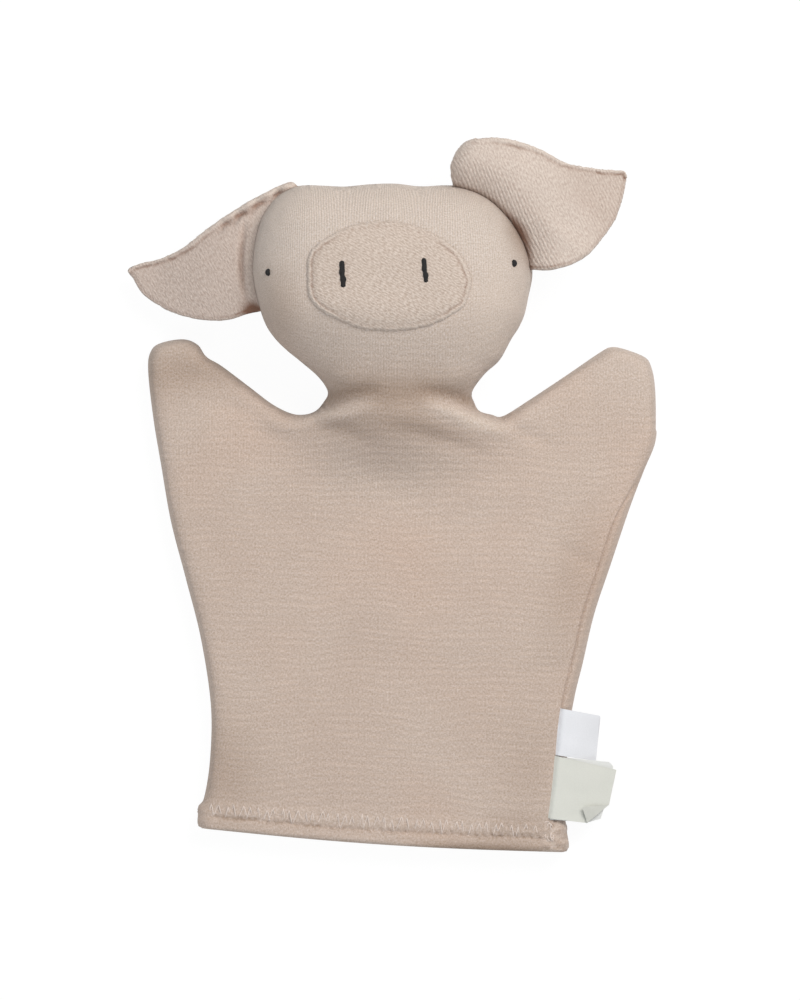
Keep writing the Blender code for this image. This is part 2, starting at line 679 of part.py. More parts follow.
# Snout, nostrils and eyes.
snout_outline = curve([(SNOUT_X + x * SNOUT_WIDTH / 2.0, SNOUT_Y + y * SNOUT_HEIGHT / 2.0)
                       for x, y in SNOUT_CURVE], 3, closed=True)[::-1]
patch("snout_patch", snout_outline, lambda p: front_height(p) + SNOUT_SEAT,
      lambda p: front_height(p) + SNOUT_SEAT + TERRY, "terry", SNOUT_GRID, SNOUT_CLEAR)
for name, side in (("nostril_left", -0.5), ("nostril_right", 0.5)):
    place = np.array([SNOUT_X + side * NOSTRIL_SPACING, SNOUT_Y + NOSTRIL_RISE + side * NOSTRIL_STEP])
    length = NOSTRIL_LENGTH / 2.0
    width = NOSTRIL_WIDTH / 2.0
    shape = [(0.55 * width, -length), (width, -0.75 * length), (width, 0.0), (width, 0.75 * length),
             (0.55 * width, length), (-0.55 * width, length), (-width, 0.75 * length), (-width, 0.0),
             (-width, -0.75 * length), (-0.55 * width, -length)]
    outline = np.array([place + (x + NOSTRIL_LEAN * y, y) for x, y in shape])[::-1]
    seat = SNOUT_SEAT + TERRY + NOSTRIL_SEAT
    patch(name, outline, lambda p, s=seat: front_height(p) + s,
          lambda p, s=seat: front_height(p) + s + NOSTRIL_THICKNESS, "thread", NOSTRIL_GRID, NOSTRIL_CLEAR)
for name, side in (("eye_left", -0.5), ("eye_right", 0.5)):
    turn = math.radians(EYE_TURN)
    shift = side * EYE_SPACING
    place = np.array([EYE_X + shift * math.cos(turn), EYE_Y + shift * math.sin(turn)])
    step = EYE_PROBE
    probe = np.array([place, place + (step, 0.0), place - (step, 0.0), place + (0.0, step),
                      place - (0.0, step)])
    tall = front_height(probe)
    normal = np.array([(tall[2] - tall[1]) / (2.0 * step), (tall[4] - tall[3]) / (2.0 * step), 1.0])
    normal = normal / np.linalg.norm(normal)
    up = np.array([0.0, 1.0, 0.0]) - normal * normal[1]
    up = up / np.linalg.norm(up)
    right = np.cross(up, normal)
    seat = np.array([*place, tall[0]]) + normal * EYE_SEAT
    n = EYE_POINTS
    ring = [(math.cos(t), math.sin(t)) for t in np.arange(n) * 2.0 * math.pi / n]
    points = []
    for level, share in ((0.0, 1.0), (0.6, 0.95), (1.0, 0.55)):
        for x, y in ring:
            points.append(seat + normal * level * EYE_THICKNESS + right * x * share * EYE_WIDTH / 2.0
                          + up * y * share * EYE_HEIGHT / 2.0)
    faces = [tuple(range(n - 1, -1, -1)), tuple(range(2 * n, 3 * n))]
    for row in range(2):
        for i in range(n):
            a = row * n + i
            b = row * n + (i + 1) % n
            faces.append((a, b, b + n, a + n))
    add_mesh(name, points, faces, "thread")


# Ears.
def ear(name, top, foot, edge, height, seat_gap):
    """Two cloth layers from the head's seam out to a free edge, and the root where they bend."""
    top = np.array(head_point(top))
    foot = np.array(head_point(foot))
    first = int(np.argmin(np.linalg.norm(FINE - top, axis=1)))
    last = int(np.argmin(np.linalg.norm(FINE - foot, axis=1)))
    low, high = min(first, last), max(first, last)
    base = FINE[low:high + 1] if first < last else FINE[low:high + 1][::-1]
    chord = (base[-1] - base[0]) / np.linalg.norm(base[-1] - base[0])
    out = np.array([-chord[1], chord[0]])
    if np.dot(np.array(edge[len(edge) // 2]), out) < 0.0:
        out = -out
    seat = resample(base, EAR_STEP)
    step = np.gradient(seat, axis=0)
    step = step / np.linalg.norm(step, axis=1)[:, None]
    away = np.stack([-step[:, 1], step[:, 0]], axis=1)
    away = away * np.sign(away @ out)[:, None]
    seat = seat + away * seat_gap
    free = curve([seat[0]] + [tuple(base[0] + np.array(p) * EAR_LENGTH) for p in edge] + [seat[-1]], 2)
    outline = np.vstack([seat[::-1], free[1:-1]])
    area = np.sum(outline[:, 0] * np.roll(outline[:, 1], -1) - np.roll(outline[:, 0], -1) * outline[:, 1])
    if area > 0.0:
        outline = outline[::-1]
    bulge = ((base - base[0]) @ out).max()
    fold = bulge + EAR_ROOT
    row = base[0] + out * fold + np.linspace(-0.8, 1.8, 2001)[:, None] * EAR_LENGTH * chord
    row = row[inside(outline, row)]
    row = resample(np.array([row[0] - CUT_OVER * chord, row[-1] + CUT_OVER * chord]), EAR_STEP)
    verts, faces = triangulate(outline, [row], EAR_RINGS, EAR_GRID, EAR_CLEAR)
    reach = np.linalg.norm(verts[:, None, :] - base[None, :, :], axis=2).min(axis=1)
    points = np.column_stack([verts, height(np.maximum(reach - seat_gap, 0.0))])
    normals = vertex_normals(points, faces)
    beyond = (verts[faces].mean(axis=1) - base[0]) @ out > fold
    half = GAP / 2.0
    for part, chosen, upper, lower in (("front", beyond, half + TERRY, half),
                                       ("back", beyond, -half, -half - TERRY),
                                       ("root", ~beyond, half + TERRY, -half - TERRY)):
        made, solid = sheet_solid(points, faces[chosen][:, ::-1] if normals[:, 2].mean() < 0.0
                                  else faces[chosen], normals, upper, lower, WIDE_GAP)
        add_mesh(name + "_" + part, made, solid, "terry")
    crest = height(np.array([fold]))[0]
    return base[0] + out * fold, chord, crest


def left_ear_height(reach):
    return HEAD_Z - EAR_DROOP * smooth(reach / EAR_LENGTH)


def right_ear_height(reach):
    return (HEAD_Z + EAR_ROLL_HEIGHT * dome(reach / EAR_ROLL_WIDTH)
            - EAR_ROLL_DROOP * smooth((reach - EAR_ROLL_WIDTH) / EAR_LENGTH))


EAR_LEFT_AXIS = ear("ear_left", EAR_LEFT_TOP, EAR_LEFT_FOOT, EAR_LEFT_EDGE, left_ear_height, EAR_SEAT)
EAR_RIGHT_AXIS = ear("ear_right", EAR_RIGHT_TOP, EAR_RIGHT_FOOT, EAR_RIGHT_EDGE, right_ear_height,
                     EAR_SEAT + TERRY + GAP / 2.0)


# Labels: tapes caught in the right side seam, lying outwards over the rolled edge.
def label(name, height, width, length, look):
    ends = [height + width / 2.0, height - width / 2.0]
    order = np.argsort(seam_right[:, 1])
    line = seam_right[order]
    across = [np.array([np.interp(y, line[:, 1], line[:, 0]), y]) for y in ends]
    along = (across[1] - across[0]) / np.linalg.norm(across[1] - across[0])
    out = np.array([-along[1], along[0]])
    if out[0] < 0.0:
        out = -out
    tops = front_height(np.array(across))
    base = float(tops.max()) + LABEL_SEAT
    shares = np.linspace(0.0, 1.0, 6)
    points = []
    for thick in (0.0, LABEL_THICKNESS):
        for end in across:
            for s in shares:
                spot = end + out * length * s
                points.append((spot[0], spot[1], base + thick - LABEL_DROOP * s * s))
    n = len(shares)
    faces = []
    for i in range(n - 1):
        faces.append((i, i + 1, n + i + 1, n + i))
        faces.append((2 * n + i, 3 * n + i, 3 * n + i + 1, 2 * n + i + 1))
        faces.append((i, 2 * n + i, 2 * n + i + 1, i + 1))
        faces.append((n + i, n + i + 1, 3 * n + i + 1, 3 * n + i))
    faces.append((0, n, 3 * n, 2 * n))
    faces.append((n - 1, 3 * n - 1, 4 * n - 1, 2 * n - 1))
    add_mesh(name, points, faces, look)
    return across, base


CARE_AXIS = label("care_label", CARE_LABEL_Y, CARE_LABEL_WIDTH, CARE_LABEL_LENGTH, "white")
LOOP_AXIS = label("loop_label", LOOP_LABEL_Y, LOOP_LABEL_WIDTH, LOOP_LABEL_LENGTH, "cream")


# Joint centres: each moving piece hangs on an empty on its axis.
def hang(name, place, stems):
    centre = bpy.data.objects.new(name, None)
    centre.empty_display_size = 10.0 * METRE
    centre.location = Vector(place) * METRE
    bpy.context.scene.collection.objects.link(centre)
    for piece in list(bpy.data.objects):
        if piece.type == "MESH" and piece.parent is None and piece.name.startswith(stems):
            piece.parent = centre
            piece.matrix_parent_inverse = Matrix.Translation(-centre.location)


def shoulder_centre(notch, along):
    middle = notch + along * SHOULDER_REACH
    return (*middle, float(middle_height(middle[None])[0]) + SHOULDER_LIFT)


def ear_centre(axis):
    middle = axis[0] + axis[1] * EAR_LENGTH * EAR_CENTRE_SHARE
    return (*middle, axis[2])


def label_centre(axis):
    middle = (axis[0][0] + axis[0][1]) / 2.0
    return (*middle, axis[1] + LABEL_THICKNESS / 2.0)


NECK_CENTRE = (NECK_X, NECK_Y, float(middle_height(np.array([[NECK_X, NECK_Y]]))[0]))
hang("arm_left_lift", shoulder_centre(NOTCH_LEFT, ALONG_LEFT), ("arm_left_",))
hang("arm_right_lift", shoulder_centre(NOTCH_RIGHT, ALONG_RIGHT), ("arm_right_",))
hang("ear_left_flop", ear_centre(EAR_LEFT_AXIS), ("ear_left_front", "ear_left_back"))
hang("ear_right_flop", ear_centre(EAR_RIGHT_AXIS), ("ear_right_front", "ear_right_back"))
hang("care_label_swing", label_centre(CARE_AXIS), ("care_label",))
hang("loop_label_swing", label_centre(LOOP_AXIS), ("loop_label",))
hang("head_nod", NECK_CENTRE, ("neck_",))
hang("head_tilt", NECK_CENTRE, ("head_", "finger_pocket", "snout_patch", "nostril_", "eye_",
                                "ear_left_root", "ear_right_root"))
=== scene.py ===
"""Looks of the pig glove puppet: fine cloth, terry, stitches, labels, floor, light and camera.

Lengths are in millimetres until a mesh is made, then in metres. X runs to the right in the picture,
Y from the hem to the head, Z out of the face. Left and right are as seen from above.
"""
import math

import bpy
import numpy as np
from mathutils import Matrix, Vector, noise
from mathutils.geometry import delaunay_2d_cdt


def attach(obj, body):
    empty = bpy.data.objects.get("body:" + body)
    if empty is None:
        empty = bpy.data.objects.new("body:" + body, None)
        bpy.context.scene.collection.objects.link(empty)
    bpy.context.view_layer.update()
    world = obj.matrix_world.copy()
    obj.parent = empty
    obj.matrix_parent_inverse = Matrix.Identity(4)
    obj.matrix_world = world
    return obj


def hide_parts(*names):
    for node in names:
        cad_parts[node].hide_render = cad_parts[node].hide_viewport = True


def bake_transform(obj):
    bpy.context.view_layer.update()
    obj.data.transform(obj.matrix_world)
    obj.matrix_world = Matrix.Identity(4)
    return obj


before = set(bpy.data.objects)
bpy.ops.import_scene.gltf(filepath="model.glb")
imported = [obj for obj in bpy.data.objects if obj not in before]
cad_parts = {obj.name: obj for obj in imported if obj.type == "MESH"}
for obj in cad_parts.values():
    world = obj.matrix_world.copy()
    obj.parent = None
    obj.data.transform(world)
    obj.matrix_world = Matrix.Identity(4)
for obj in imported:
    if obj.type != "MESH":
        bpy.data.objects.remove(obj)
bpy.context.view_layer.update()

METRE = 0.001

# Cloth.
FABRIC = 1.3
HEM_HEIGHT = 11.5
HEM_THICKNESS = 2.4
SEAM_ROLL = 3.9
SEAM_START = 14.0
SEAM_TURN = 30.0
GROOVE_DEPTH = 1.0
GROOVE_WIDTH = 0.55

# Glove, with the sizes that the frame was built to.
ARM_SPAN = 194.0
GLOVE_LENGTH = 165.0
GLOVE_X = 3.6
GLOVE_HALF_DEPTH = 6.8
GLOVE_EDGE = 5.0
SHOULDER_ANGLE = 40.0

# Neck and head.
NECK_X = 2.85
NECK_Y = 39.5
NECK_WIDTH = 55.5
NECK_HALF_DEPTH = 15.0
NECK_STRIP = 12.0
NECK_Z = 20.0
NECK_RISE_ACROSS = 70.0
NECK_RISE_ALONG = 42.0
NECK_RISE_POWER = 1.6
HEAD_WIDTH = 106.8
HEAD_HEIGHT = 79.3
HEAD_HALF_DEPTH = 26.0
HEAD_EDGE = 36.0
HEAD_FLAT = 0.5
HEAD_SWELL = 40.0

# Face.
SNOUT_WIDTH = 61.6
SNOUT_HEIGHT = 41.4
SNOUT_X = -1.4
SNOUT_Y = 83.1
EYE_WIDTH = 2.2
EYE_HEIGHT = 3.0
EYE_SPACING = 93.0
EYE_X = -0.5
EYE_Y = 86.3
EYE_TURN = 2.1

# Ears.
EAR_LENGTH = 50.0
EAR_DROOP = 15.0
EAR_ROLL_HEIGHT = 14.0
EAR_ROLL_WIDTH = 11.0
EAR_ROLL_DROOP = 16.0
EAR_HALF_THICKNESS = 1.75
RIB_PITCH = 1.15

# Labels.
CARE_LABEL_LENGTH = 16.0
LOOP_LABEL_LENGTH = 24.0
LABEL_DROOP = 7.0

# Outline of the glove: x as a share of half the arm span, y as a share of the glove's length down
# from the neck.
GLOVE_LEFT = [
    (-0.799, 1.004), (-0.803, 0.956), (-0.779, 0.933), (-0.756, 0.845), (-0.753, 0.721),
    (-0.792, 0.568), (-0.851, 0.430), (-0.909, 0.299), (-0.948, 0.168), (-0.979, 0.058),
    (-0.999, -0.051), (-0.988, -0.095), (-0.948, -0.115), (-0.858, -0.124), (-0.799, -0.111),
    (-0.764, -0.083), (-0.705, -0.062), (-0.592, -0.012), (-0.509, 0.025), (-0.439, 0.046),
    (-0.388, 0.050), (-0.341, 0.042), (-0.310, 0.022)]
GLOVE_RIGHT = [
    (0.287, 0.024), (0.306, 0.042), (0.353, 0.050), (0.396, 0.053), (0.498, 0.016),
    (0.639, -0.039), (0.779, -0.095), (0.823, -0.106), (0.874, -0.101), (0.952, -0.083),
    (0.979, -0.062), (0.995, -0.016), (0.999, 0.064), (0.992, 0.118), (0.948, 0.182),
    (0.894, 0.265), (0.815, 0.403), (0.753, 0.513), (0.709, 0.624), (0.678, 0.698),
    (0.654, 0.785), (0.643, 0.906), (0.640, 0.973), (0.646, 1.060)]
NOTCH_LEFT_SHARE = (-0.405, 0.050)
NOTCH_RIGHT_SHARE = (0.375, 0.052)
# Outline of the head: x as a share of half the head's width, y as a share of its height.
HEAD_CURVE = [
    (-0.530, 0.067), (-0.652, 0.139), (-0.758, 0.197), (-0.843, 0.255), (-0.908, 0.322),
    (-0.957, 0.417), (-0.993, 0.522), (-1.000, 0.623), (-0.979, 0.738), (-0.929, 0.844),
    (-0.837, 0.929), (-0.730, 0.977), (-0.624, 0.992), (-0.481, 0.990), (-0.337, 0.986),
    (-0.161, 0.997), (0.019, 1.000), (0.197, 0.987), (0.375, 0.992), (0.537, 0.982),
    (0.693, 0.934), (0.822, 0.854), (0.921, 0.758), (0.985, 0.652), (1.000, 0.556),
    (0.972, 0.455), (0.944, 0.369), (0.901, 0.303), (0.850, 0.250), (0.766, 0.149), (0.659, 0.082)]
# Outline of the snout patch as shares of half its width and height.
SNOUT_CURVE = [
    (-1.00, -0.01), (-0.995, 0.33), (-0.93, 0.50), (-0.77, 0.69), (-0.46, 0.92), (-0.13, 1.00), (0.19, 0.965),
    (0.50, 0.80), (0.75, 0.57), (0.915, 0.30), (1.00, -0.01), (0.985, -0.30), (0.93, -0.53), (0.79, -0.69),
    (0.49, -0.91), (0.06, -1.00), (-0.33, -0.96), (-0.70, -0.745), (-0.86, -0.58), (-0.97, -0.40)]
# Free edges of the ears from the upper end of the base round the tip to its foot, as shares of the
# ear's length from the upper end of the base, in X and Y.
EAR_LEFT_TOP = (-0.674, 0.990)
EAR_LEFT_FOOT = (-0.937, 0.385)
EAR_LEFT_EDGE = [
    (-0.045, 0.024), (-0.13, 0.0), (-0.26, -0.064), (-0.45, -0.172), (-0.65, -0.304), (-0.86, -0.465),
    (-1.03, -0.55),
    (-1.21, -0.594), (-1.29, -0.64), (-1.25, -0.71), (-1.17, -0.83), (-0.99, -0.945), (-0.83, -1.00),
    (-0.68, -1.025), (-0.52, -1.02), (-0.39, -0.98)]
EAR_RIGHT_TOP = (0.449, 0.990)
EAR_RIGHT_FOOT = (1.000, 0.586)
EAR_RIGHT_EDGE = [
    (-0.02, 0.13), (0.03, 0.25), (0.10, 0.315), (0.20, 0.345), (0.36, 0.345), (0.55, 0.296),
    (0.69, 0.234), (0.82, 0.163), (0.97, 0.128), (1.17, 0.107), (1.27, 0.103), (1.293, 0.07),
    (1.285, 0.0), (1.26, -0.116), (1.21, -0.264), (1.10, -0.424), (0.985, -0.55), (0.84, -0.624),
    (0.69, -0.655)]

# Folds of the front cloth: a line in X and Y, its height (below nought a crease) and its width. A fold
# fades out at both ends.
FOLDS = [
    ([(-40.0, 30.5), (-26.0, 34.5), (-17.0, 37.0), (-6.0, 40.0)], -1.8, 2.4),
    ([(-46.0, 25.0), (-28.0, 29.0), (-17.0, 31.0), (-5.0, 35.0)], 1.9, 2.4),
    ([(46.0, 29.0), (33.0, 33.5), (24.0, 36.6), (11.0, 39.2)], -1.8, 2.4),
    ([(46.0, 24.0), (31.0, 28.2), (20.0, 32.8), (8.0, 36.5)], 1.9, 2.4),
    ([(-38.0, 27.0), (-22.0, 25.5), (-8.0, 20.0)], -0.9, 3.0),
    ([(-2.0, 27.0), (19.2, 21.0), (36.0, 16.0)], -1.0, 3.2),
    ([(36.0, 30.0), (50.0, 24.0), (66.0, 17.0)], -0.9, 2.6), ([(-58.0, 26.5), (-40.0, 22.5)], -0.8, 3.0),
    ([(-76.0, 37.0), (-48.0, 30.5)], -0.9, 3.0), ([(-82.0, 45.5), (-60.0, 43.5)], -0.8, 3.5),
    ([(-12.0, 9.0), (6.0, 5.0)], -0.6, 6.0), ([(62.0, -18.0), (80.0, -28.0)], -0.7, 3.0),
    ([(52.0, -68.0), (68.0, -63.0)], -0.6, 3.5), ([(-54.0, -7.0), (-14.0, -13.0)], -0.4, 5.0),
    ([(14.0, -3.0), (58.0, 3.0)], 0.4, 5.0), ([(-66.0, 5.0), (-24.0, 13.0)], 0.4, 5.0),
    ([(-64.0, 34.0), (-78.0, 14.0)], 1.1, 8.0)]
# Painted light and shade on the front cloth, in the same form, with a tint for a height: below nought painted
# shade, in the neck's creases, below the head, beside the ears, on the arms and lower glove and along the
# hem's lower roll; above nought painted light, on the neck's ridges, the head's top and lower right and the
# chest.
PAINTED_LIGHT_AND_SHADE = [
    ([(-44.0, 31.5), (-27.0, 36.5), (-17.0, 39.2), (-4.0, 41.5)], -0.48, 2.8),
    ([(48.0, 30.0), (33.0, 35.0), (24.0, 38.6), (9.0, 41.0)], -0.54, 2.8),
    ([(-38.0, 29.4), (-20.0, 32.4), (-7.0, 35.6)], 0.75, 2.4),
    ([(44.0, 26.0), (28.0, 29.6), (13.0, 35.4)], 0.9, 3.4),
    ([(-34.0, 111.0), (3.0, 115.0), (40.0, 108.0)], 0.32, 9.0),
    ([(42.0, 82.0), (39.0, 64.0), (28.0, 50.0)], 0.4, 8.0),
    ([(-16.0, 39.5), (3.0, 39.0), (22.0, 39.5)], -0.3, 5.0),
    ([(-36.0, 25.5), (-22.0, 26.0), (-8.0, 22.0)], -0.28, 3.4),
    ([(-4.0, 28.0), (18.0, 23.5), (38.0, 17.0)], -0.26, 3.6),
    ([(-38.0, 44.0), (3.0, 40.0), (42.0, 44.0)], -0.55, 8.0),
    ([(-24.0, 27.0), (3.0, 28.0), (28.0, 25.0)], -0.42, 6.5),
    ([(-22.0, 11.0), (3.0, 8.0), (28.0, 12.0)], 0.24, 9.0), ([(-66.0, -88.0), (-60.0, -122.0)], -0.42, 14.0),
    ([(56.0, -86.0), (50.0, -120.0)], -0.26, 13.0),
    ([(78.0, -4.0), (71.0, -28.0), (60.0, -66.0)], -0.3, 11.0),
    ([(-44.0, 84.0), (-41.0, 60.0)], -0.42, 8.0), ([(44.0, 107.0), (50.0, 88.0)], -0.4, 4.5),
    ([(6.0, -131.4), (40.0, -133.2), (66.0, -134.8)], -1.0, 2.5),
    ([(36.0, 113.5), (43.6, 108.0), (47.6, 100.6), (51.2, 93.4), (53.4, 84.0)], -0.80, 1.7),
    ([(-108.0, 42.0), (-80.0, 48.0), (-54.0, 52.0)], -0.6, 10.0),
    ([(34.0, -125.0), (50.0, -125.5), (64.0, -129.0)], -0.42, 4.2)]

EAR_LEFT_FOLDS = [
    ([(-55.6, 104.0), (-57.0, 93.0), (-57.0, 84.0), (-55.2, 73.0)], -1.9, 1.0),
    ([(-84.0, 78.0), (-62.0, 90.0)], 0.6, 6.0)]
EAR_RIGHT_FOLDS = [([(26.0, 129.0), (55.0, 123.0)], 0.5, 4.0), ([(54.0, 107.0), (76.0, 89.0)], 0.8, 3.5),
                   ([(60.0, 118.0), (82.0, 106.0)], -0.6, 5.0)]

# Mesh.
FINE_POINTS = 30
RIM_STEP = 1.1
GRID = 1.8
RING_DEPTHS = [0.12, 0.4, 0.9, 1.6, 2.5, 3.7, 5.2]


# Curves and distances.
def smooth(t):
    t = np.clip(t, 0.0, 1.0)
    return t * t * (3.0 - 2.0 * t)


def dome(t):
    """Rise from 0 at an edge to 1 inside it, steep at the edge and level at the end."""
    return np.sqrt(np.clip(1.0 - (1.0 - np.clip(t, 0.0, 1.0)) ** 2, 0.0, 1.0))


def bell(distance, width):
    return np.exp(-(distance / width) ** 2)


def unit(vectors):
    size = np.linalg.norm(vectors, axis=-1, keepdims=True)
    return vectors / np.maximum(size, 1e-12)


def curve(points, count, closed=False):
    """A smooth line through the points, with count steps in each span."""
    pts = np.array(points, dtype=float)
    if closed:
        pts = np.vstack([pts[-1:], pts, pts[:2]])
    else:
        pts = np.vstack([2.0 * pts[0] - pts[1], pts, 2.0 * pts[-1] - pts[-2]])
    line = []
    for a, b, c, d in zip(pts[:-3], pts[1:-2], pts[2:-1], pts[3:]):
        for t in np.arange(count) / count:
            line.append(0.5 * (2.0 * b + (c - a) * t + (2.0 * a - 5.0 * b + 4.0 * c - d) * t ** 2
                               + (3.0 * b - a - 3.0 * c + d) * t ** 3))
    if not closed:
        line.append(pts[-2])
    return np.array(line)


def resample(line, spacing):
    line = np.asarray(line, dtype=float)
    steps = np.linalg.norm(np.diff(line, axis=0), axis=1)
    reach = np.concatenate([[0.0], np.cumsum(steps)])
    count = max(2, int(round(reach[-1] / spacing)) + 1)
    at = np.linspace(0.0, reach[-1], count)
    return np.stack([np.interp(at, reach, line[:, k]) for k in range(line.shape[1])], axis=1)


def offset_line(line, amount):
    """The line moved to its right by the amount at each point."""
    step = unit(np.gradient(line, axis=0))
    side = np.stack([step[:, 1], -step[:, 0]], axis=1)
    return line + side * np.reshape(amount, (-1, 1))


def in_parts(function, points, size=2500):
    """A function of many points, worked out in parts to save memory."""
    parts = [function(points[i:i + size]) for i in range(0, len(points), size)]
    return np.concatenate(parts) if parts else np.zeros(0)


def inside(polygon, points):
    x1, y1 = polygon[:, 0], polygon[:, 1]
    x2, y2 = np.roll(x1, -1), np.roll(y1, -1)
    rise = np.where(y2 == y1, 1e-12, y2 - y1)

    def part(some):
        x, y = some[:, 0:1], some[:, 1:2]
        crossing = ((y1 > y) != (y2 > y)) & (x < (x2 - x1) * (y - y1) / rise + x1)
        return crossing.sum(axis=1) % 2 == 1
    return in_parts(part, points)


def line_distance(line, points):
    return in_parts(lambda some: np.linalg.norm(some[:, None, :] - line[None], axis=2).min(axis=1), points)


def soft_distance(line, points):
    """Distance to a line, rounded where two stretches of it are equally near."""
    middle = 0.5 * (line[1:] + line[:-1])
    length = np.linalg.norm(line[1:] - line[:-1], axis=1)

    def part(some):
        gap = np.linalg.norm(some[:, None, :] - middle[None, :, :], axis=2)
        pull = (length / np.maximum(gap, 0.05) ** 4).sum(axis=1) / (0.5 * math.pi)
        return np.minimum(gap.min(axis=1), pull ** (-1.0 / 3.0))
    return in_parts(part, points)


def lumps(points, size, seed=0.0):
    """Smooth noise from -1 to 1 with lumps of about this size."""
    return np.array([noise.noise(Vector((*(p / size), 0.0)[:3]) + Vector((seed, 2.0 * seed, 7.0)))
                     for p in points])


# Filling an outline with triangles.
def thinned(groups):
    """The points of each group in turn that keep their group's room to all taken before."""
    cell = 0.5
    taken = {}
    kept = []
    for points, room in groups:
        reach = int(math.ceil(room / cell))
        for p in points:
            home = (int(math.floor(p[0] / cell)), int(math.floor(p[1] / cell)))
            near = (taken.get((home[0] + i, home[1] + j), ())
                    for i in range(-reach, reach + 1) for j in range(-reach, reach + 1))
            if any((q[0] - p[0]) ** 2 + (q[1] - p[1]) ** 2 < room * room for spot in near for q in spot):
                continue
            taken.setdefault(home, []).append((p[0], p[1]))
            kept.append(p)
    return np.array(kept)


def hex_grid(low, high, grid):
    rows = []
    for row, y in enumerate(np.arange(low[1], high[1], grid * 0.87)):
        x = np.arange(low[0] + (row % 2) * grid / 2.0, high[0], grid)
        rows.append(np.column_stack([x, np.full(len(x), y)]))
    return np.vstack(rows)


def fill(outline, lines, inner):
    """Triangles inside an outline, with edges along the lines, through the inner points."""
    points = [tuple(p) for p in outline]
    edges = [(i, (i + 1) % len(points)) for i in range(len(points))]
    for line in lines:
        start = len(points)
        points += [tuple(p) for p in line]
        edges += [(start + i, start + i + 1) for i in range(len(line) - 1)]
    points += [tuple(p) for p in inner]
    made = delaunay_2d_cdt([Vector(p) for p in points], edges, [], 1, 1e-4, False)
    verts = np.array([tuple(v) for v in made[0]])
    faces = np.array([tuple(f) for f in made[2]])
    return verts, faces[inside(outline, verts[faces].mean(axis=1))]


def rim_edges(faces):
    """Edges that only one face uses, in that face's direction."""
    pairs = np.concatenate([faces[:, [0, 1]], faces[:, [1, 2]], faces[:, [2, 0]]])
    seen = set(map(tuple, pairs.tolist()))
    return [(a, b) for a, b in pairs.tolist() if (b, a) not in seen]


def rim_walls(faces, count):
    """Triangles that close the rim between a layer and its copy, whose points come count later."""
    walls = []
    for a, b in rim_edges(faces):
        walls.append((b, a, a + count))
        walls.append((b, a + count, b + count))
    return np.array(walls, dtype=int).reshape(-1, 3)


def facing_up(points, faces):
    """The triangles, each turned counter-clockwise from above."""
    a, b, c = (points[faces[:, k]] for k in range(3))
    return np.where((np.cross(b - a, c - a) < 0.0)[:, None], faces[:, ::-1], faces)


def clockwise(outline):
    x, y = outline[:, 0], outline[:, 1]
    twice = np.sum(x * np.roll(y, -1) - np.roll(x, -1) * y)
    return outline[::-1] if twice > 0.0 else outline


def vertex_normals(points, faces):
    total = np.zeros_like(points)
    a, b, c = points[faces[:, 0]], points[faces[:, 1]], points[faces[:, 2]]
    flat_normals = np.cross(b - a, c - a)
    for corner in range(3):
        np.add.at(total, faces[:, corner], flat_normals)
    return unit(total)


# Making objects.
def add_mesh(name, points, faces, look, weave=None, normals=None, tint=None):
    """An object from points in millimetres, with the place of each point on the cloth."""
    mesh = bpy.data.meshes.new(name)
    mesh.from_pydata((np.asarray(points) * METRE).tolist(), [], [tuple(map(int, f)) for f in faces])
    mesh.shade_smooth()
    spots = np.asarray(points if weave is None else weave, dtype=np.float32)
    mesh.attributes.new("weave", "FLOAT_VECTOR", "POINT").data.foreach_set("vector", spots.ravel())
    tones = np.zeros(len(points), dtype=np.float32) if tint is None else np.asarray(tint, dtype=np.float32)
    mesh.attributes.new("tint", "FLOAT", "POINT").data.foreach_set("value", tones)
    if normals is not None:
        mesh.normals_split_custom_set(normals.tolist())
    if look is not None:
        mesh.materials.append(look)
    made = bpy.data.objects.new(name, mesh)
    bpy.context.scene.collection.objects.link(made)
    return made


def layered(name, outer, inner, faces, look, outer_normals, inner_normals, weave, tint):
    """A closed cloth piece between an outer and an inner layer of the same triangles."""
    used = np.unique(faces)
    index = np.full(len(outer), -1)
    index[used] = np.arange(len(used))
    count = len(used)
    local = index[faces]
    walls = rim_walls(local, count)
    under = local[:, ::-1] + count
    points = np.vstack([outer[used], inner[used]])
    solid = np.vstack([local, under, walls])
    smooth_normals = np.vstack([outer_normals[used], -inner_normals[used]])
    corners = smooth_normals[np.vstack([local, under])].reshape(-1, 3)
    a, b, c = (points[walls[:, k]] for k in range(3))
    wall_normals = np.repeat(unit(np.cross(b - a, c - a)), 3, axis=0)
    spots = np.vstack([weave[used], weave[used]])
    tones = np.concatenate([tint[used], tint[used]])
    return add_mesh(name, points, solid, look, spots, np.vstack([corners, wall_normals]), tones)


def threads(name, paths, radius, look, sides=6):
    """Short lengths of thread as one object; each path is a list of points."""
    points, faces = [], []
    turns = np.arange(sides) * 2.0 * math.pi / sides
    for path in paths:
        path = np.asarray(path, dtype=float)
        along = unit(np.gradient(path, axis=0))
        side = np.cross(along, np.array([0.05, 0.03, 1.0]))
        side = unit(side)
        up = np.cross(side, along)
        taper = np.ones(len(path))
        taper[[0, -1]] = 0.45
        start = len(points)
        for p, s, u, share in zip(path, side, up, taper):
            ring = p + radius * share * (np.cos(turns)[:, None] * s + np.sin(turns)[:, None] * u)
            points.extend(ring.tolist())
        for row in range(len(path) - 1):
            for i in range(sides):
                a = start + row * sides + i
                b = start + row * sides + (i + 1) % sides
                faces.append((a, a + sides, b + sides, b))
        faces.append(tuple(start + i for i in range(sides)))
        last = start + (len(path) - 1) * sides
        faces.append(tuple(last + i for i in reversed(range(sides))))
    return add_mesh(name, np.array(points), faces, look)


# The puppet's outline and its main heights.
HALF_SPAN = ARM_SPAN / 2.0
HEAD_Z = HEAD_HALF_DEPTH - HEAD_FLAT
NECK_LOW = NECK_Y - NECK_STRIP / 2.0
NECK_HIGH = NECK_Y + NECK_STRIP / 2.0


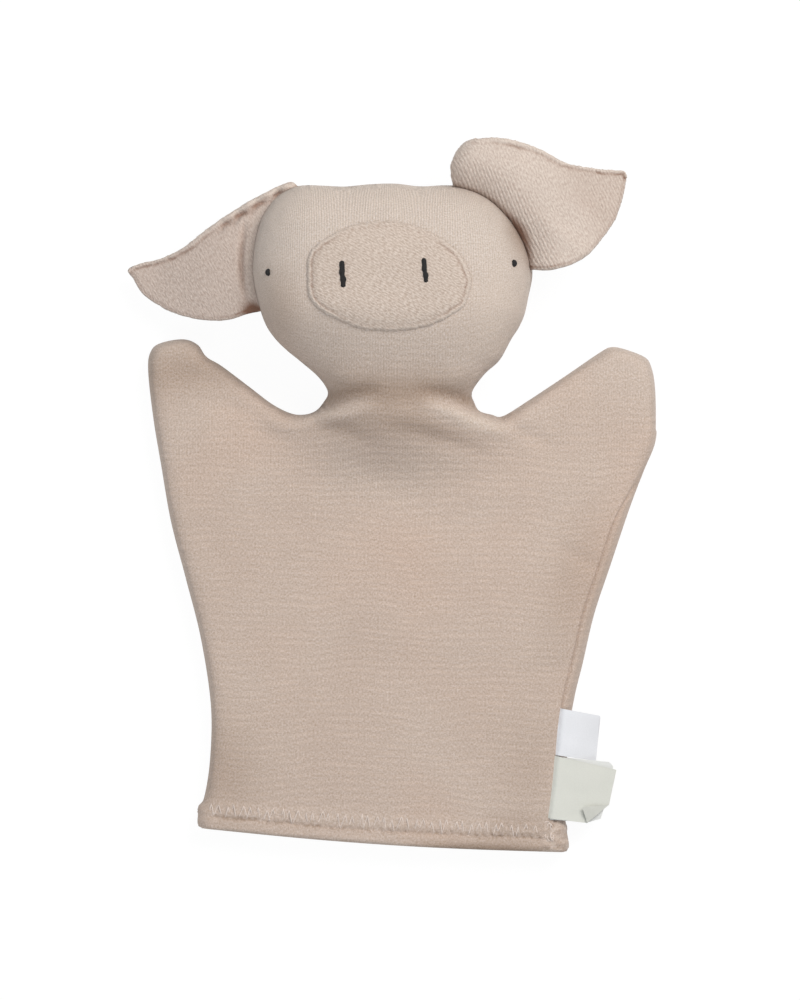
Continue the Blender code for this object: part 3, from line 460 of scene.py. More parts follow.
def glove_point(p):
    return (GLOVE_X + p[0] * HALF_SPAN, NECK_Y - p[1] * GLOVE_LENGTH)


def head_point(p):
    return (p[0] * HEAD_WIDTH / 2.0, NECK_Y + p[1] * HEAD_HEIGHT)


CONTROL = [glove_point(p) for p in GLOVE_LEFT]
CONTROL += [(NECK_X - NECK_WIDTH / 2.0, NECK_Y)]
CONTROL += [head_point(p) for p in HEAD_CURVE]
CONTROL += [(NECK_X + NECK_WIDTH / 2.0, NECK_Y)]
CONTROL += [glove_point(p) for p in GLOVE_RIGHT]
FINE = curve(CONTROL, FINE_POINTS)
RIM = resample(FINE, RIM_STEP)
HEM_LEFT = np.array(CONTROL[0])
HEM_RIGHT = np.array(CONTROL[-1])
HEM_WIDTH = np.linalg.norm(HEM_RIGHT - HEM_LEFT)
HEM_ALONG = (HEM_RIGHT - HEM_LEFT) / HEM_WIDTH
HEM_UP = np.array([-HEM_ALONG[1], HEM_ALONG[0]])


def neck_share(points):
    """How far the cloth is lifted towards the neck, from 0 on the flat glove to 1."""
    across = (points[:, 0] - NECK_X) / NECK_RISE_ACROSS
    along = np.minimum(points[:, 1] - NECK_LOW, 0.0) / NECK_RISE_ALONG
    return smooth(1.0 - np.hypot(across, along)) ** NECK_RISE_POWER


def is_head(points):
    spread = 0.65 * NECK_WIDTH + 0.6 * (points[:, 1] - NECK_LOW)
    return (points[:, 1] > NECK_LOW) & (np.abs(points[:, 0] - NECK_X) < spread)


def head_share(points):
    return np.where(is_head(points), smooth((points[:, 1] - NECK_LOW) / HEAD_SWELL), 0.0)


def middle_height(points):
    """Height of the side seam."""
    low = GLOVE_HALF_DEPTH + (NECK_Z - GLOVE_HALF_DEPTH) * neck_share(points)
    high = NECK_Z + (HEAD_Z - NECK_Z) * smooth((points[:, 1] - NECK_LOW) / HEAD_SWELL)
    up = np.where(is_head(points), smooth((points[:, 1] - NECK_LOW) / NECK_STRIP), 0.0)
    return low + (high - low) * up


def full_depth(points):
    """Half the puppet's thickness away from its outline."""
    full = GLOVE_HALF_DEPTH + (NECK_HALF_DEPTH - GLOVE_HALF_DEPTH) * neck_share(points)
    return full + (HEAD_HALF_DEPTH - full) * head_share(points)


EDGE_SEARCH = 4.0
EDGE_TRUE = 2.5


def edge_distance(points):
    """Distance to the outline: the true one close to it, rounded further in."""
    total = soft_distance(FINE, points)
    near = total < EDGE_SEARCH
    start, run = FINE[:-1], FINE[1:] - FINE[:-1]

    def part(some):
        away = some[:, None, :] - start[None]
        share = np.clip((away * run).sum(axis=2) / np.maximum((run ** 2).sum(axis=1), 1e-9), 0.0, 1.0)
        return np.linalg.norm(away - share[..., None] * run, axis=2).min(axis=1)
    if near.any():
        true = in_parts(part, points[near])
        total[near] = true + (total[near] - true) * smooth(true / EDGE_TRUE)
    return total


def half_depth(points):
    """Half the puppet's thickness, nought at the outline."""
    neck = neck_share(points)
    head = head_share(points)
    full = full_depth(points)
    edge = GLOVE_EDGE + (HEAD_EDGE - GLOVE_EDGE) * np.maximum(head, 0.3 * neck)
    share = np.clip(edge_distance(points) / edge, 0.0, 1.0)
    power = 2.0 + 0.35 * head
    return full * (1.0 - (1.0 - share) ** power) ** (1.0 / power)


# Fine relief of the cloth.
side_right = FINE[(FINE[:, 0] > GLOVE_X) & (FINE[:, 1] < SEAM_START)]
SEAM_LINE = offset_line(side_right, SEAM_ROLL * smooth((SEAM_START - side_right[:, 1]) / SEAM_TURN))
SEAM_LINE = SEAM_LINE[(SEAM_LINE - HEM_LEFT) @ HEM_UP > HEM_HEIGHT]


def hem_place(points):
    """How far along the hem and above its lower edge the points lie."""
    return (points - HEM_LEFT) @ HEM_ALONG, (points - HEM_LEFT) @ HEM_UP


HEM_SAG = 1.7
HEM_SAG_REACH = 16.0
STITCH_PITCH = 3.0
STITCH_LOW = 4.9
STITCH_HIGH = 9.6


def sagged(points):
    """The cloth near the hem hangs a little lower in the middle of its width."""
    along, above = hem_place(points)
    drop = HEM_SAG * np.sin(math.pi * np.clip(along / HEM_WIDTH, 0.0, 1.0))
    return points - HEM_UP * (drop * smooth(1.0 - above / HEM_SAG_REACH))[:, None]


def hem_line(points, along):
    """Height of the stitched groove above the hem's edge; it wavers from stitch to stitch."""
    waver = 0.3 * np.sin(along * 2.0 * math.pi / STITCH_PITCH + 2.0 * lumps(points, 8.0, 15.0))
    return STITCH_LOW + 0.45 * lumps(points, 6.0, 17.0) + waver


def hem_puckers(points, along, above):
    """Slanting dents under the stitches, from nought to one; deeper to the right."""
    slanted = along + 0.55 * (above - STITCH_LOW)
    phase = slanted * 2.0 * math.pi / STITCH_PITCH + 1.2 * lumps(points, 7.0, 53.0)
    strength = 0.3 + 0.7 * smooth((along - 50.0) / 40.0)
    return strength * np.maximum(np.sin(phase), 0.0) ** 1.5 * bell(above - STITCH_LOW - 0.9, 1.3)


def hem_relief(points):
    along, above = hem_place(points)
    inward = smooth((along - 3.0) / 5.0) * smooth((HEM_WIDTH - 6.0 - along) / 5.0)
    uneven = np.maximum(1.0 + 0.9 * lumps(points, 2.2, 13.0), 0.1)
    line = hem_line(points, along)
    roll = 0.4 * np.sin(math.pi * np.clip(above / STITCH_LOW, 0.0, 1.0))
    groove = -(0.5 * uneven * bell(above - line, 0.6) + 0.7 * hem_puckers(points, along, above)) * inward
    band = smooth((above - STITCH_LOW) / 0.8) * smooth((HEM_HEIGHT - above) / 2.5) * inward
    slant = 1.1 * (above - STITCH_LOW) + 1.6 * lumps(points, 7.0, 53.0)
    pucker = np.sin(along * 2.0 * math.pi / STITCH_PITCH + slant) * (0.6 + 0.8 * lumps(points, 5.0, 57.0))
    nub = smooth((along - HEM_WIDTH + 11.0) / 5.0) * smooth((HEM_HEIGHT + 1.0 - above) / 4.0)
    nub = nub * (0.9 + 1.2 * lumps(points, 2.6, 63.0) + 0.5 * lumps(points, 1.1, 67.0))
    bumps = roll + groove + band * (0.25 + 0.3 * pucker + 0.2 * lumps(points, 1.6, 19.0)) + 0.8 * nub
    return np.where(above < HEM_HEIGHT + 1.0, bumps, 0.0)


def front_tint(points):
    """Painted shade in the hem's stitched groove and the dents under its stitches, along the side seam's
    groove and in the folds' creases, painted light and shade from the list above, a paler band over the
    stitches and paler and darker clumps at the hem's end.
    """
    along, above = hem_place(points)
    inward = smooth((along - 3.0) / 5.0) * smooth((HEM_WIDTH - 8.0 - along) / 5.0)
    spots = smooth(0.45 + 1.5 * lumps(points, 1.6, 29.0))
    spots = spots * (1.0 - 0.5 * smooth((along - 50.0) / 40.0))
    # Painted shade in the stitched groove, with darker spots along it, and in the dents under the stitches.
    hem = -0.8 * bell(above - hem_line(points, along), 0.6) * inward * spots
    hem -= 0.55 * hem_puckers(points, along, above) * inward
    end = smooth((along - HEM_WIDTH + 11.0) / 5.0) * smooth((HEM_HEIGHT - above) / 2.0)
    clumps = 2.6 * lumps(points, 2.2, 73.0)
    knotted = end * (0.15 + 0.6 * smooth(clumps) - 0.4 * smooth(-clumps))
    hem += 0.16 * smooth((above - STITCH_LOW - 0.5) / 1.0) * smooth((HEM_HEIGHT - above) / 3.0) * inward
    # Painted shade along the side seam's groove and in the folds' creases, and painted light and shade from
    # the list.
    seam = -0.25 * bell(line_distance(SEAM_LINE, points), 0.6)
    return hem + knotted + seam + folded(points, PAINTED_LIGHT_AND_SHADE) - 0.1 * smooth(-folded(points, FOLDS) / 1.8)


def ripples(points):
    """Long faint waves across the glove."""
    x, y = points[:, 0], points[:, 1]
    waves = np.sin(y / 4.6 + 0.9 * np.sin(x / 31.0)) * np.sin(x / 47.0 + 1.0)
    return 0.16 * waves + 0.5 * lumps(points * (0.6, 1.0), 26.0, 3.0)


def folded(points, folds):
    """Sum of folds; each is a line that fades at both ends, with its height and width."""
    total = np.zeros(len(points))
    for line, height, width in folds:
        spots = resample(curve(line, 12), 0.8)
        strength = np.sin(math.pi * np.linspace(0.0, 1.0, len(spots))) ** 0.7

        def part(some):
            gap = np.linalg.norm(some[:, None, :] - spots[None], axis=2)
            return (strength * bell(gap, width)).max(axis=1)
        total += height * in_parts(part, points)
    return total


def front_relief(points):
    """Height of the front cloth above its smooth form."""
    away = soft_distance(FINE, points)
    total = ripples(points) * smooth(away / 9.0) * (1.0 - 0.6 * head_share(points))
    total += folded(points, FOLDS) * smooth(away / 3.0)
    gap = line_distance(SEAM_LINE, points)
    total -= GROOVE_DEPTH * bell(gap, GROOVE_WIDTH) * smooth(away / 1.5)
    return total + hem_relief(points)


def surface(points):
    """Height of the puppet's front, folds included."""
    points = np.asarray(points, dtype=float)
    return middle_height(points) + half_depth(points) + front_relief(points)


def surface_normal(point, step=0.6):
    probe = np.array([point, point, point, point]) + step * np.array([(1, 0), (-1, 0), (0, 1), (0, -1)])
    tall = middle_height(probe) + half_depth(probe)
    return unit(np.array([(tall[1] - tall[0]) / (2 * step), (tall[3] - tall[2]) / (2 * step), 1.0]))


# Materials.
def node(tree, kind, values=None, **settings):
    made = tree.nodes.new(kind)
    for name, value in settings.items():
        setattr(made, name, value)
    for name, value in (values or {}).items():
        if isinstance(value, bpy.types.NodeSocket):
            tree.links.new(value, made.inputs[name])
        else:
            made.inputs[name].default_value = value
    return made


def maths(tree, operation, a, b=0.0):
    return node(tree, "ShaderNodeMath", {0: a, 1: b}, operation=operation).outputs[0]


def plus(tree, a, b):
    return maths(tree, "ADD", a, b)


def times(tree, a, b):
    return maths(tree, "MULTIPLY", a, b)


def blend_colour(tree, share, a, b, kind="MIX"):
    made = node(tree, "ShaderNodeMix", {0: share, 6: a, 7: b}, data_type="RGBA", blend_type=kind)
    return made.outputs[2]


def grain(tree, vector, scale, detail=2.0, roughness=0.5):
    return node(tree, "ShaderNodeTexNoise", {"Vector": vector, "Scale": scale, "Detail": detail,
                                             "Roughness": roughness}).outputs["Fac"]


def ramp(tree, value, low, high):
    """A value stretched so that low becomes 0 and high becomes 1."""
    return node(tree, "ShaderNodeMapRange", {"Value": value, "From Min": low, "From Max": high}).outputs[0]


def wave(tree, distance, pitch, shift, amount):
    """A sine along a distance in millimetres, bent by a shift from 0 to 1."""
    turned = plus(tree, times(tree, distance, 2.0 * math.pi / pitch),
                   times(tree, shift, amount))
    return maths(tree, "SINE", turned)


def new_look(name, roughness, sheen, sheen_roughness=0.5, sheen_tint=(1.0, 0.95, 0.9, 1.0)):
    made = bpy.data.materials.new(name)
    made.use_nodes = True
    tree = made.node_tree
    shader = tree.nodes["Principled BSDF"]
    shader.inputs["Roughness"].default_value = roughness
    shader.inputs["Specular IOR Level"].default_value = 0.25
    shader.inputs["Sheen Weight"].default_value = sheen
    shader.inputs["Sheen Roughness"].default_value = sheen_roughness
    shader.inputs["Sheen Tint"].default_value = sheen_tint
    return made, tree, shader


def bump(tree, shader, height, distance, strength=1.0):
    made = node(tree, "ShaderNodeBump", {"Height": height, "Distance": distance, "Strength": strength})
    tree.links.new(made.outputs[0], shader.inputs["Normal"])


def place_on_cloth(tree):
    spot = node(tree, "ShaderNodeAttribute", attribute_name="weave")
    split = node(tree, "ShaderNodeSeparateXYZ", {0: spot.outputs["Vector"]})
    return spot.outputs["Vector"], split.outputs


def tinted(tree, colour, warm, pale):
    """A colour mixed by the mesh's tint: below nought towards a darker warm colour, for painted shade in
    creases, grooves and crevices and for dark stitch lines; above nought towards a pale colour, for painted
    light and for pale raw edges.
    """
    tint = node(tree, "ShaderNodeAttribute", attribute_name="tint").outputs["Fac"]
    down = maths(tree, "MAXIMUM", times(tree, tint, -1.0), 0.0)
    up = maths(tree, "MAXIMUM", tint, 0.0)
    return blend_colour(tree, up, blend_colour(tree, down, colour, (*warm, 1.0)), (*pale, 1.0))


def toned(tree, colour, value):
    made = node(tree, "ShaderNodeVectorMath", {0: colour}, operation="SCALE")
    tree.links.new(value, made.inputs["Scale"])
    return made.outputs[0]


def around(tree, value, amount):
    """A noise value centred on nought and scaled."""
    return times(tree, maths(tree, "SUBTRACT", value, 0.5), amount)


def jersey_look():
    """Brushed cotton jersey: a heathered grain, faint courses on the glove and upright wales on the head."""
    made, tree, shader = new_look("jersey", 0.95, 0.2)
    vector, (x, y, z) = place_on_cloth(tree)
    speckle = grain(tree, vector, 1.35, 2.0, 0.7)
    fuzz = grain(tree, vector, 3.0, 1.0)
    mottle = grain(tree, vector, 0.16, 3.0, 0.6)
    drift = grain(tree, vector, 0.10, 2.0)
    cloud = grain(tree, vector, 0.022, 2.0)
    stain = grain(tree, vector, 0.016, 1.0)
    on_head = ramp(tree, y, 20.0, 96.0)
    on_top = plus(tree, ramp(tree, y, 66.0, 112.0),
                   times(tree, ramp(tree, y, -20.0, 20.0), 0.4))
    wale = times(tree, wave(tree, x, 1.02, drift, 3.0), on_top)
    course = times(tree, wave(tree, y, 3.0, cloud, 26.0), ramp(tree, mottle, 0.35, 0.65))
    course = times(tree, course, maths(tree, "SUBTRACT", 1.0, on_head))
    value = plus(tree, times(tree, wale, 0.06), times(tree, course, 0.034))
    value = plus(tree, value, around(tree, speckle, 0.85))
    value = plus(tree, value, around(tree, fuzz, 0.5))
    value = plus(tree, value, around(tree, mottle, 0.14))
    value = plus(tree, value, 1.0)
    glove = blend_colour(tree, ramp(tree, cloud, 0.35, 0.65), (0.548, 0.436, 0.369, 1.0),
                         (0.572, 0.464, 0.397, 1.0))
    glove = blend_colour(tree, ramp(tree, stain, 0.50, 0.72), glove, (0.574, 0.446, 0.372, 1.0))
    whole = blend_colour(tree, on_head, glove, (0.598, 0.512, 0.452, 1.0))
    # Tint below nought mixes towards the darker warm colour as painted shade, above nought towards the pale
    # colour as painted light.
    whole = tinted(tree, whole, (0.365, 0.268, 0.208), (0.66, 0.56, 0.485))
    fleck = blend_colour(tree, ramp(tree, speckle, 0.3, 0.7), (1.0, 0.95, 0.88, 1.0), (1.0, 1.05, 1.12, 1.0))
    whole = blend_colour(tree, 1.0, whole, fleck, "MULTIPLY")
    tree.links.new(toned(tree, whole, value), shader.inputs["Base Color"])
    height = plus(tree, times(tree, wale, 0.4), speckle)
    height = plus(tree, height, times(tree, course, 0.9))
    height = plus(tree, height, times(tree, fuzz, 0.5))
    bump(tree, shader, height, 0.13 * METRE, 0.8)
    return made


def terry_look(name, light, dark, rib_angle, pitch, rib_share):
    """Loop-back cotton: short slanting loops in uneven rows, with darker gaps between them."""
    made, tree, shader = new_look(name, 0.95, 0.22)
    vector, (x, y, z) = place_on_cloth(tree)
    turn = math.radians(rib_angle)
    across = plus(tree, times(tree, x, math.sin(turn)),
                   times(tree, y, math.cos(turn)))
    along = maths(tree, "SUBTRACT", times(tree, y, math.sin(turn)),
                  times(tree, x, math.cos(turn)))
    lengthened = node(tree, "ShaderNodeCombineXYZ", {0: times(tree, across, 2.0),
                                                     1: times(tree, along, 0.75)}).outputs[0]
    dash = grain(tree, lengthened, 1.0, 1.5, 0.6)
    drift = grain(tree, vector, 0.30, 2.0)
    fuzz = grain(tree, vector, 3.0, 1.0)
    cloud = grain(tree, vector, 0.05, 2.0)
    rib = wave(tree, across, pitch, drift, 3.0)
    share = plus(tree, times(tree, rib, rib_share), dash)
    colour = blend_colour(tree, ramp(tree, share, 0.33, 0.65), (*dark, 1.0), (*light, 1.0))
    tone = plus(tree, around(tree, fuzz, 0.34), around(tree, cloud, 0.12))
    tone = plus(tree, tone, 1.0)
    # The dark warm colour is painted shade in creases, recesses and crevices, and also the colour of brown
    # stitch lines; the pale one is for raw edges.
    colour = tinted(tree, colour, (0.23, 0.125, 0.085), (0.74, 0.66, 0.59))
    tree.links.new(toned(tree, colour, tone), shader.inputs["Base Color"])
    height = plus(tree, share, times(tree, fuzz, 0.3))
    bump(tree, shader, height, 0.30 * METRE, 0.8)
    return made


def thread_look(name, colour, roughness, sheen):
    """Twisted thread: fine slanting strands along its length."""
    made, tree, shader = new_look(name, roughness, sheen)
    vector, (x, y, z) = place_on_cloth(tree)
    strand = wave(tree, plus(tree, x, times(tree, y, 0.7)), 0.32,
                  grain(tree, vector, 1.2), 5.0)
    fibre = grain(tree, vector, 6.0, 2.0)
    share = plus(tree, times(tree, strand, 0.2), fibre)
    dark = tuple(0.72 * c for c in colour)
    mixed = blend_colour(tree, ramp(tree, share, 0.2, 0.8), (*dark, 1.0), (*colour, 1.0))
    tree.links.new(mixed, shader.inputs["Base Color"])
    bump(tree, shader, share, 0.08 * METRE, 0.7)
    return made


def tape_look(name, colour, warp, weft, roughness, sheen, depth):
    """Woven label tape: warp and weft threads, with faint creases."""
    made, tree, shader = new_look(name, roughness, sheen)
    vector, (x, y, z) = place_on_cloth(tree)
    drift = grain(tree, vector, 0.3, 2.0)
    cross = times(tree, wave(tree, x, warp, drift, 1.0), wave(tree, y, weft, drift, 1.0))
    fibre = grain(tree, vector, 2.5, 2.0)
    crease = grain(tree, vector, 0.12, 3.0)
    value = plus(tree, times(tree, cross, 0.03), times(tree, fibre, 0.10))
    value = plus(tree, value, ramp(tree, crease, -8.0, 9.0))
    value = plus(tree, value, 0.42)
    whole = node(tree, "ShaderNodeRGB")
    whole.outputs[0].default_value = (*colour, 1.0)
    shade = tinted(tree, whole.outputs[0], tuple(0.8 * c for c in colour), (0.86, 0.87, 0.88))
    tree.links.new(toned(tree, shade, value), shader.inputs["Base Color"])
    height = plus(tree, cross, times(tree, crease, 2.0))
    bump(tree, shader, height, depth * METRE, 0.7)
    return made


JERSEY = jersey_look()
SNOUT_TERRY = terry_look("snout_terry", (0.675, 0.58, 0.515), (0.475, 0.375, 0.31), 28.0, 1.0, 0.05)
# The left ear's terry is the same cloth as the right ear's, made darker as painted shade for an ear that lies
# lower and turned from the lamps.
EAR_LEFT_TERRY_SHADED = terry_look("ear_left_terry_shaded", (0.655, 0.55, 0.49), (0.485, 0.38, 0.325), 60.0, 1.1, 0.03)
EAR_RIGHT_TERRY = terry_look("ear_right_terry", (0.685, 0.595, 0.53), (0.525, 0.425, 0.37), 65.0,
                             RIB_PITCH, 0.03)
BLACK_THREAD = thread_look("black_thread", (0.036, 0.035, 0.036), 0.9, 0.0)
PALE_THREAD = thread_look("pale_thread", (0.86, 0.74, 0.67), 0.8, 0.2)
WHITE_TAPE = tape_look("white_tape", (0.83, 0.84, 0.88), 0.45, 0.6, 0.45, 0.1, 0.03)
CREAM_TAPE = tape_look("cream_tape", (0.75, 0.755, 0.70), 0.55, 0.55, 0.85, 0.15, 0.06)
LINING = tape_look("lining", (0.62, 0.55, 0.48), 0.9, 0.9, 0.95, 0.2, 0.08)
FIBRE = tape_look("fibre_fill", (0.83, 0.82, 0.80), 2.3, 3.1, 1.0, 0.3, 0.4)


# The skin: one net of triangles over the whole outline, for the front and the back.
lean = math.radians(SHOULDER_ANGLE)
NOTCH = {"left": np.array(glove_point(NOTCH_LEFT_SHARE)), "right": np.array(glove_point(NOTCH_RIGHT_SHARE))}
ALONG = {"left": np.array([-math.cos(lean), -math.sin(lean)]),
         "right": np.array([math.cos(lean), -math.sin(lean)])}
OUT = {"left": np.array([-math.sin(lean), math.cos(lean)]),
       "right": np.array([math.sin(lean), math.cos(lean)])}


def neck_corner(side):
    """The outline's point where the glove meets the neck."""
    half = FINE[(np.abs(FINE[:, 0] - NECK_X) < 0.65 * NECK_WIDTH) & (FINE[:, 1] < NECK_Y + 2.0)]
    half = half[half[:, 0] < NECK_X] if side == "left" else half[half[:, 0] > NECK_X]
    return half[np.argmin(np.abs(half[:, 1] - NECK_LOW))]


ARM_START = {side: float((neck_corner(side) - NOTCH[side]) @ OUT[side]) + 0.4 for side in ("left", "right")}


def arm_cut(side):
    """The straight line across the glove where the cloth of an arm starts."""
    start = NOTCH[side] + OUT[side] * ARM_START[side]
    line = start + np.linspace(-30.0, 110.0, 2801)[:, None] * ALONG[side]
    held = inside(RIM, line) & (line[:, 1] < NECK_LOW)
    runs = np.split(np.arange(len(line)), np.flatnonzero(np.diff(held.astype(int))) + 1)
    best = max((run for run in runs if held[run[0]]), key=len)
    ends = line[[best[0], best[-1]]] + np.array([-0.06, 0.06])[:, None] * ALONG[side]
    return resample(ends, 1.2)


def neck_cut(height):
    row = np.column_stack([np.linspace(-0.65, 0.65, 4001) * NECK_WIDTH + NECK_X, np.full(4001, height)])
    row = row[inside(RIM, row)]
    return resample(np.array([row[0] - (0.03, 0.0), row[-1] + (0.03, 0.0)]), 1.2)


def hem_rows():
    rows = []
    for above in [0.12, 0.35, 0.7, 1.15, 1.7, 2.4, 3.2, 4.0, 4.5, 4.9, 5.4, 6.1, 6.9, 7.7, 8.5, 9.3, 10.1,
                  10.8, 11.6]:
        at = np.arange(-3.0, HEM_WIDTH + 3.0, 0.75)
        rows.append(HEM_LEFT + at[:, None] * HEM_ALONG + above * HEM_UP)
    return np.vstack(rows)


def build_net():
    mouth = resample(np.array([HEM_RIGHT, HEM_LEFT]), 0.75)[1:-1]
    outline = np.vstack([RIM, mouth])
    cuts = [arm_cut("left"), arm_cut("right")]
    cuts += [neck_cut(h) for h in (NECK_LOW, NECK_Y)]
    groups = [(outline, 0.0), (np.vstack(cuts), 0.0)]
    for depth in RING_DEPTHS:
        ring = offset_line(FINE, depth)
        ring = ring[inside(RIM, ring)]
        ring = ring[line_distance(FINE[::3], ring) > 0.9 * depth]
        groups.append((ring, max(0.95 * RIM_STEP, 0.4 * depth)))
    groove = [offset_line(SEAM_LINE, shift) for shift in (0.0, 0.35, -0.35, 0.75, -0.75, 1.2, -1.2)]
    groups.append((np.vstack(groove), 0.32))
    rows = hem_rows()
    groups.append((rows[inside(outline, rows)], 0.3))
    net = hex_grid(outline.min(axis=0), outline.max(axis=0), GRID)
    groups.append((net[inside(outline, net)], 0.62 * GRID))
    fixed = len(outline) + sum(len(c) for c in cuts)
    points = thinned(groups)
    return fill(outline, cuts, points[fixed:])


flat, flat_faces = build_net()
flat_faces = facing_up(flat, flat_faces)
count = len(flat)
on_rim = np.zeros(count, dtype=bool)
at_mouth = np.zeros(count, dtype=bool)
for a, b in rim_edges(flat_faces):
    low = max(abs(hem_place(flat[[a, b]])[1])) < 0.02
    (at_mouth if low else on_rim)[[a, b]] = True

middle = middle_height(flat)
depth = half_depth(flat)
depth[on_rim] = 0.0
SMOOTH_SKIN = np.vstack([np.column_stack([flat, middle + depth]),
                         np.column_stack([flat, np.maximum(middle - depth, 0.0)])])
back_index = np.where(on_rim, np.arange(count), np.arange(count) + count)
SKIN_FACES = np.vstack([flat_faces, back_index[flat_faces][:, ::-1]])
SMOOTH_NORMALS = vertex_normals(SMOOTH_SKIN, SKIN_FACES)
level = np.concatenate([at_mouth, at_mouth])
lifted = SMOOTH_NORMALS[level][:, :2] @ HEM_UP
SMOOTH_NORMALS[level, :2] -= lifted[:, None] * HEM_UP
SMOOTH_NORMALS = unit(SMOOTH_NORMALS)

# Relief on the outside, a rounded fold at the hem and a drawn-in seam round the outline.
above = np.concatenate([hem_place(flat)[1]] * 2)
thick = np.where(above < HEM_HEIGHT, HEM_THICKNESS, FABRIC)
relief = np.concatenate([front_relief(flat), hem_relief(flat)])
arc = np.concatenate([depth, depth])
sewn = np.concatenate([soft_distance(SEAM_LINE, flat) > 12.0] * 2)
relief = np.where(sewn, relief - 0.35 * bell(arc, 0.8), relief)
fold_radius = 1.3
fold = fold_radius * (1.0 - dome(above / fold_radius))
outer = SMOOTH_SKIN + SMOOTH_NORMALS * (relief - fold)[:, None]
inner = SMOOTH_SKIN - SMOOTH_NORMALS * (thick - 0.9 * fold)[:, None]
for layer in (outer, inner):
    layer[:, :2] = sagged(layer[:, :2])
    layer[:, 2] = np.maximum(layer[:, 2], 0.05)
OUTER_NORMALS = vertex_normals(outer, SKIN_FACES)
INNER_NORMALS = SMOOTH_NORMALS
TINT = np.concatenate([front_tint(flat), np.zeros(count)])
# The weave runs on round the sides of the cloth, with another part of it on the back.
round_side = np.concatenate([full_depth(flat) - depth] * 2)
WEAVE = np.column_stack([np.vstack([flat, flat]) + SMOOTH_NORMALS[:, :2] * round_side[:, None],
                         np.repeat([0.0, 60.0], count)])

centre = flat[flat_faces].mean(axis=1)
zone = np.full(len(centre), "glove", dtype=object)
for side in ("left", "right"):
    here = centre[:, 0] < GLOVE_X if side == "left" else centre[:, 0] >= GLOVE_X
    zone[here & ((centre - NOTCH[side]) @ OUT[side] > ARM_START[side])] = "arm_" + side
heads = is_head(centre)
zone[heads] = np.where(centre[heads, 1] < NECK_Y, "neck", "head")
ZONES = np.concatenate([zone, zone])


def cloth(label):
    faces = SKIN_FACES[ZONES == label]
    return layered(label + "_cloth", outer, inner, faces, JERSEY, OUTER_NORMALS, INNER_NORMALS, WEAVE, TINT)


glove_cloth = cloth("glove")
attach(glove_cloth, "glove")
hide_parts("front_panel", "back_panel", "hem_front", "hem_back", "seam_left", "seam_right")

for side in ("left", "right"):
    piece = cloth("arm_" + side)
    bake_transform(piece)
    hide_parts(*(stem.format(side, face) for stem in ("arm_{}_{}", "shoulder_{}_{}")
                         for face in ("front", "back")))

neck_cloth = cloth("neck")
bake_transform(neck_cloth)
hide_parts("neck_front", "neck_back")
head_cloth = cloth("head")
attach(head_cloth, "head")
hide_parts("head_front", "head_back")


# Neck tuck: it rises by a slope towards the sides, where a tilt opens the neck most.
RING = 48
TUCK_GAP = 0.5
TUCK_HEIGHT = 1.5
TUCK_SLOPE = 0.34
TUCK_BELOW = 1.2


def head_ring(y, clear, reach=58.0):
    """A ring just inside the cloth of the head or neck at one height, no further out than the reach."""
    row = np.column_stack([np.linspace(-60.0, 60.0, 2401), np.full(2401, y)])
    row = row[inside(RIM, row) & (np.abs(row[:, 0] - NECK_X) < reach)]
    left, right = row[0, 0] + clear, row[-1, 0] - clear
    turns = np.arange(RING) * 2.0 * math.pi / RING
    x = 0.5 * (left + right) + 0.5 * (right - left) * np.cos(turns)
    flat_ring = np.column_stack([x, np.full(RING, y)])
    tall = np.maximum(half_depth(flat_ring) - clear, 0.0) * np.sign(np.round(np.sin(turns), 6))
    return np.column_stack([flat_ring, middle_height(flat_ring) + tall])


def loft(name, rings, look, capped):
    """Quads between rings of the same count, with both ends closed or joined to each other."""
    points = np.vstack(rings)
    faces = []
    rows = len(rings) - 1 if capped else len(rings)
    for row in range(rows):
        for i in range(RING):
            a, b = row * RING + i, row * RING + (i + 1) % RING
            c, d = ((row + 1) % len(rings)) * RING + i, ((row + 1) % len(rings)) * RING + (i + 1) % RING
            faces.append((a, b, d, c))
    if capped:
        faces.append(tuple(reversed(range(RING))))
        faces.append(tuple((len(rings) - 1) * RING + i for i in range(RING)))
    return add_mesh(name, points, faces, look)


def build_neck_tuck():
    """The neck's cloth runs on inside the head, so that the neck stays closed when the head tilts."""
    sides = []
    for clear in (FABRIC + TUCK_GAP, 2.0 * FABRIC + TUCK_GAP):
        base = head_ring(NECK_Y, clear, 0.65 * NECK_WIDTH)
        top = TUCK_HEIGHT + TUCK_SLOPE * np.abs(base[:, 0] - NECK_X)
        for share in np.linspace(0.0, 1.0, 12):
            probe = base[:, :2] + np.column_stack([0.0 * top, share * (top + TUCK_BELOW) - TUCK_BELOW])
            base[:, 2] = np.minimum(base[:, 2], surface(probe) - clear)
        rings = []
        for share in np.linspace(0.0, 1.0, 7):
            rise = share * (top + TUCK_BELOW) - TUCK_BELOW
            rings.append(base + np.column_stack([0.0 * top, rise, 0.0 * top]))
        sides.append(rings)
    made = loft("neck_tuck", sides[0] + sides[1][::-1], JERSEY, False)
    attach(made, "neck")
    return made


neck_tuck = build_neck_tuck()


# Hem stitches: a zigzag whose legs arch over the cloth and dip in at each point, and a knot at the end.
KNOT = (59.7, -128.0)


def knot():
    paths = []
    for k in range(6):
        turns = np.linspace(0.0, 3.0, 11) + 1.9 * k
        size = 0.9 + 0.5 * math.sin(2.7 * k)
        middle = np.array(KNOT) + (1.5 * math.sin(1.3 * k), 2.3 * math.cos(2.1 * k))
        line = middle + size * np.column_stack([np.cos(turns), 1.5 * np.sin(turns)])
        paths.append(np.column_stack([line, surface(line) + 0.02 + 0.12 * np.sin(2.0 * turns)]))
    return paths


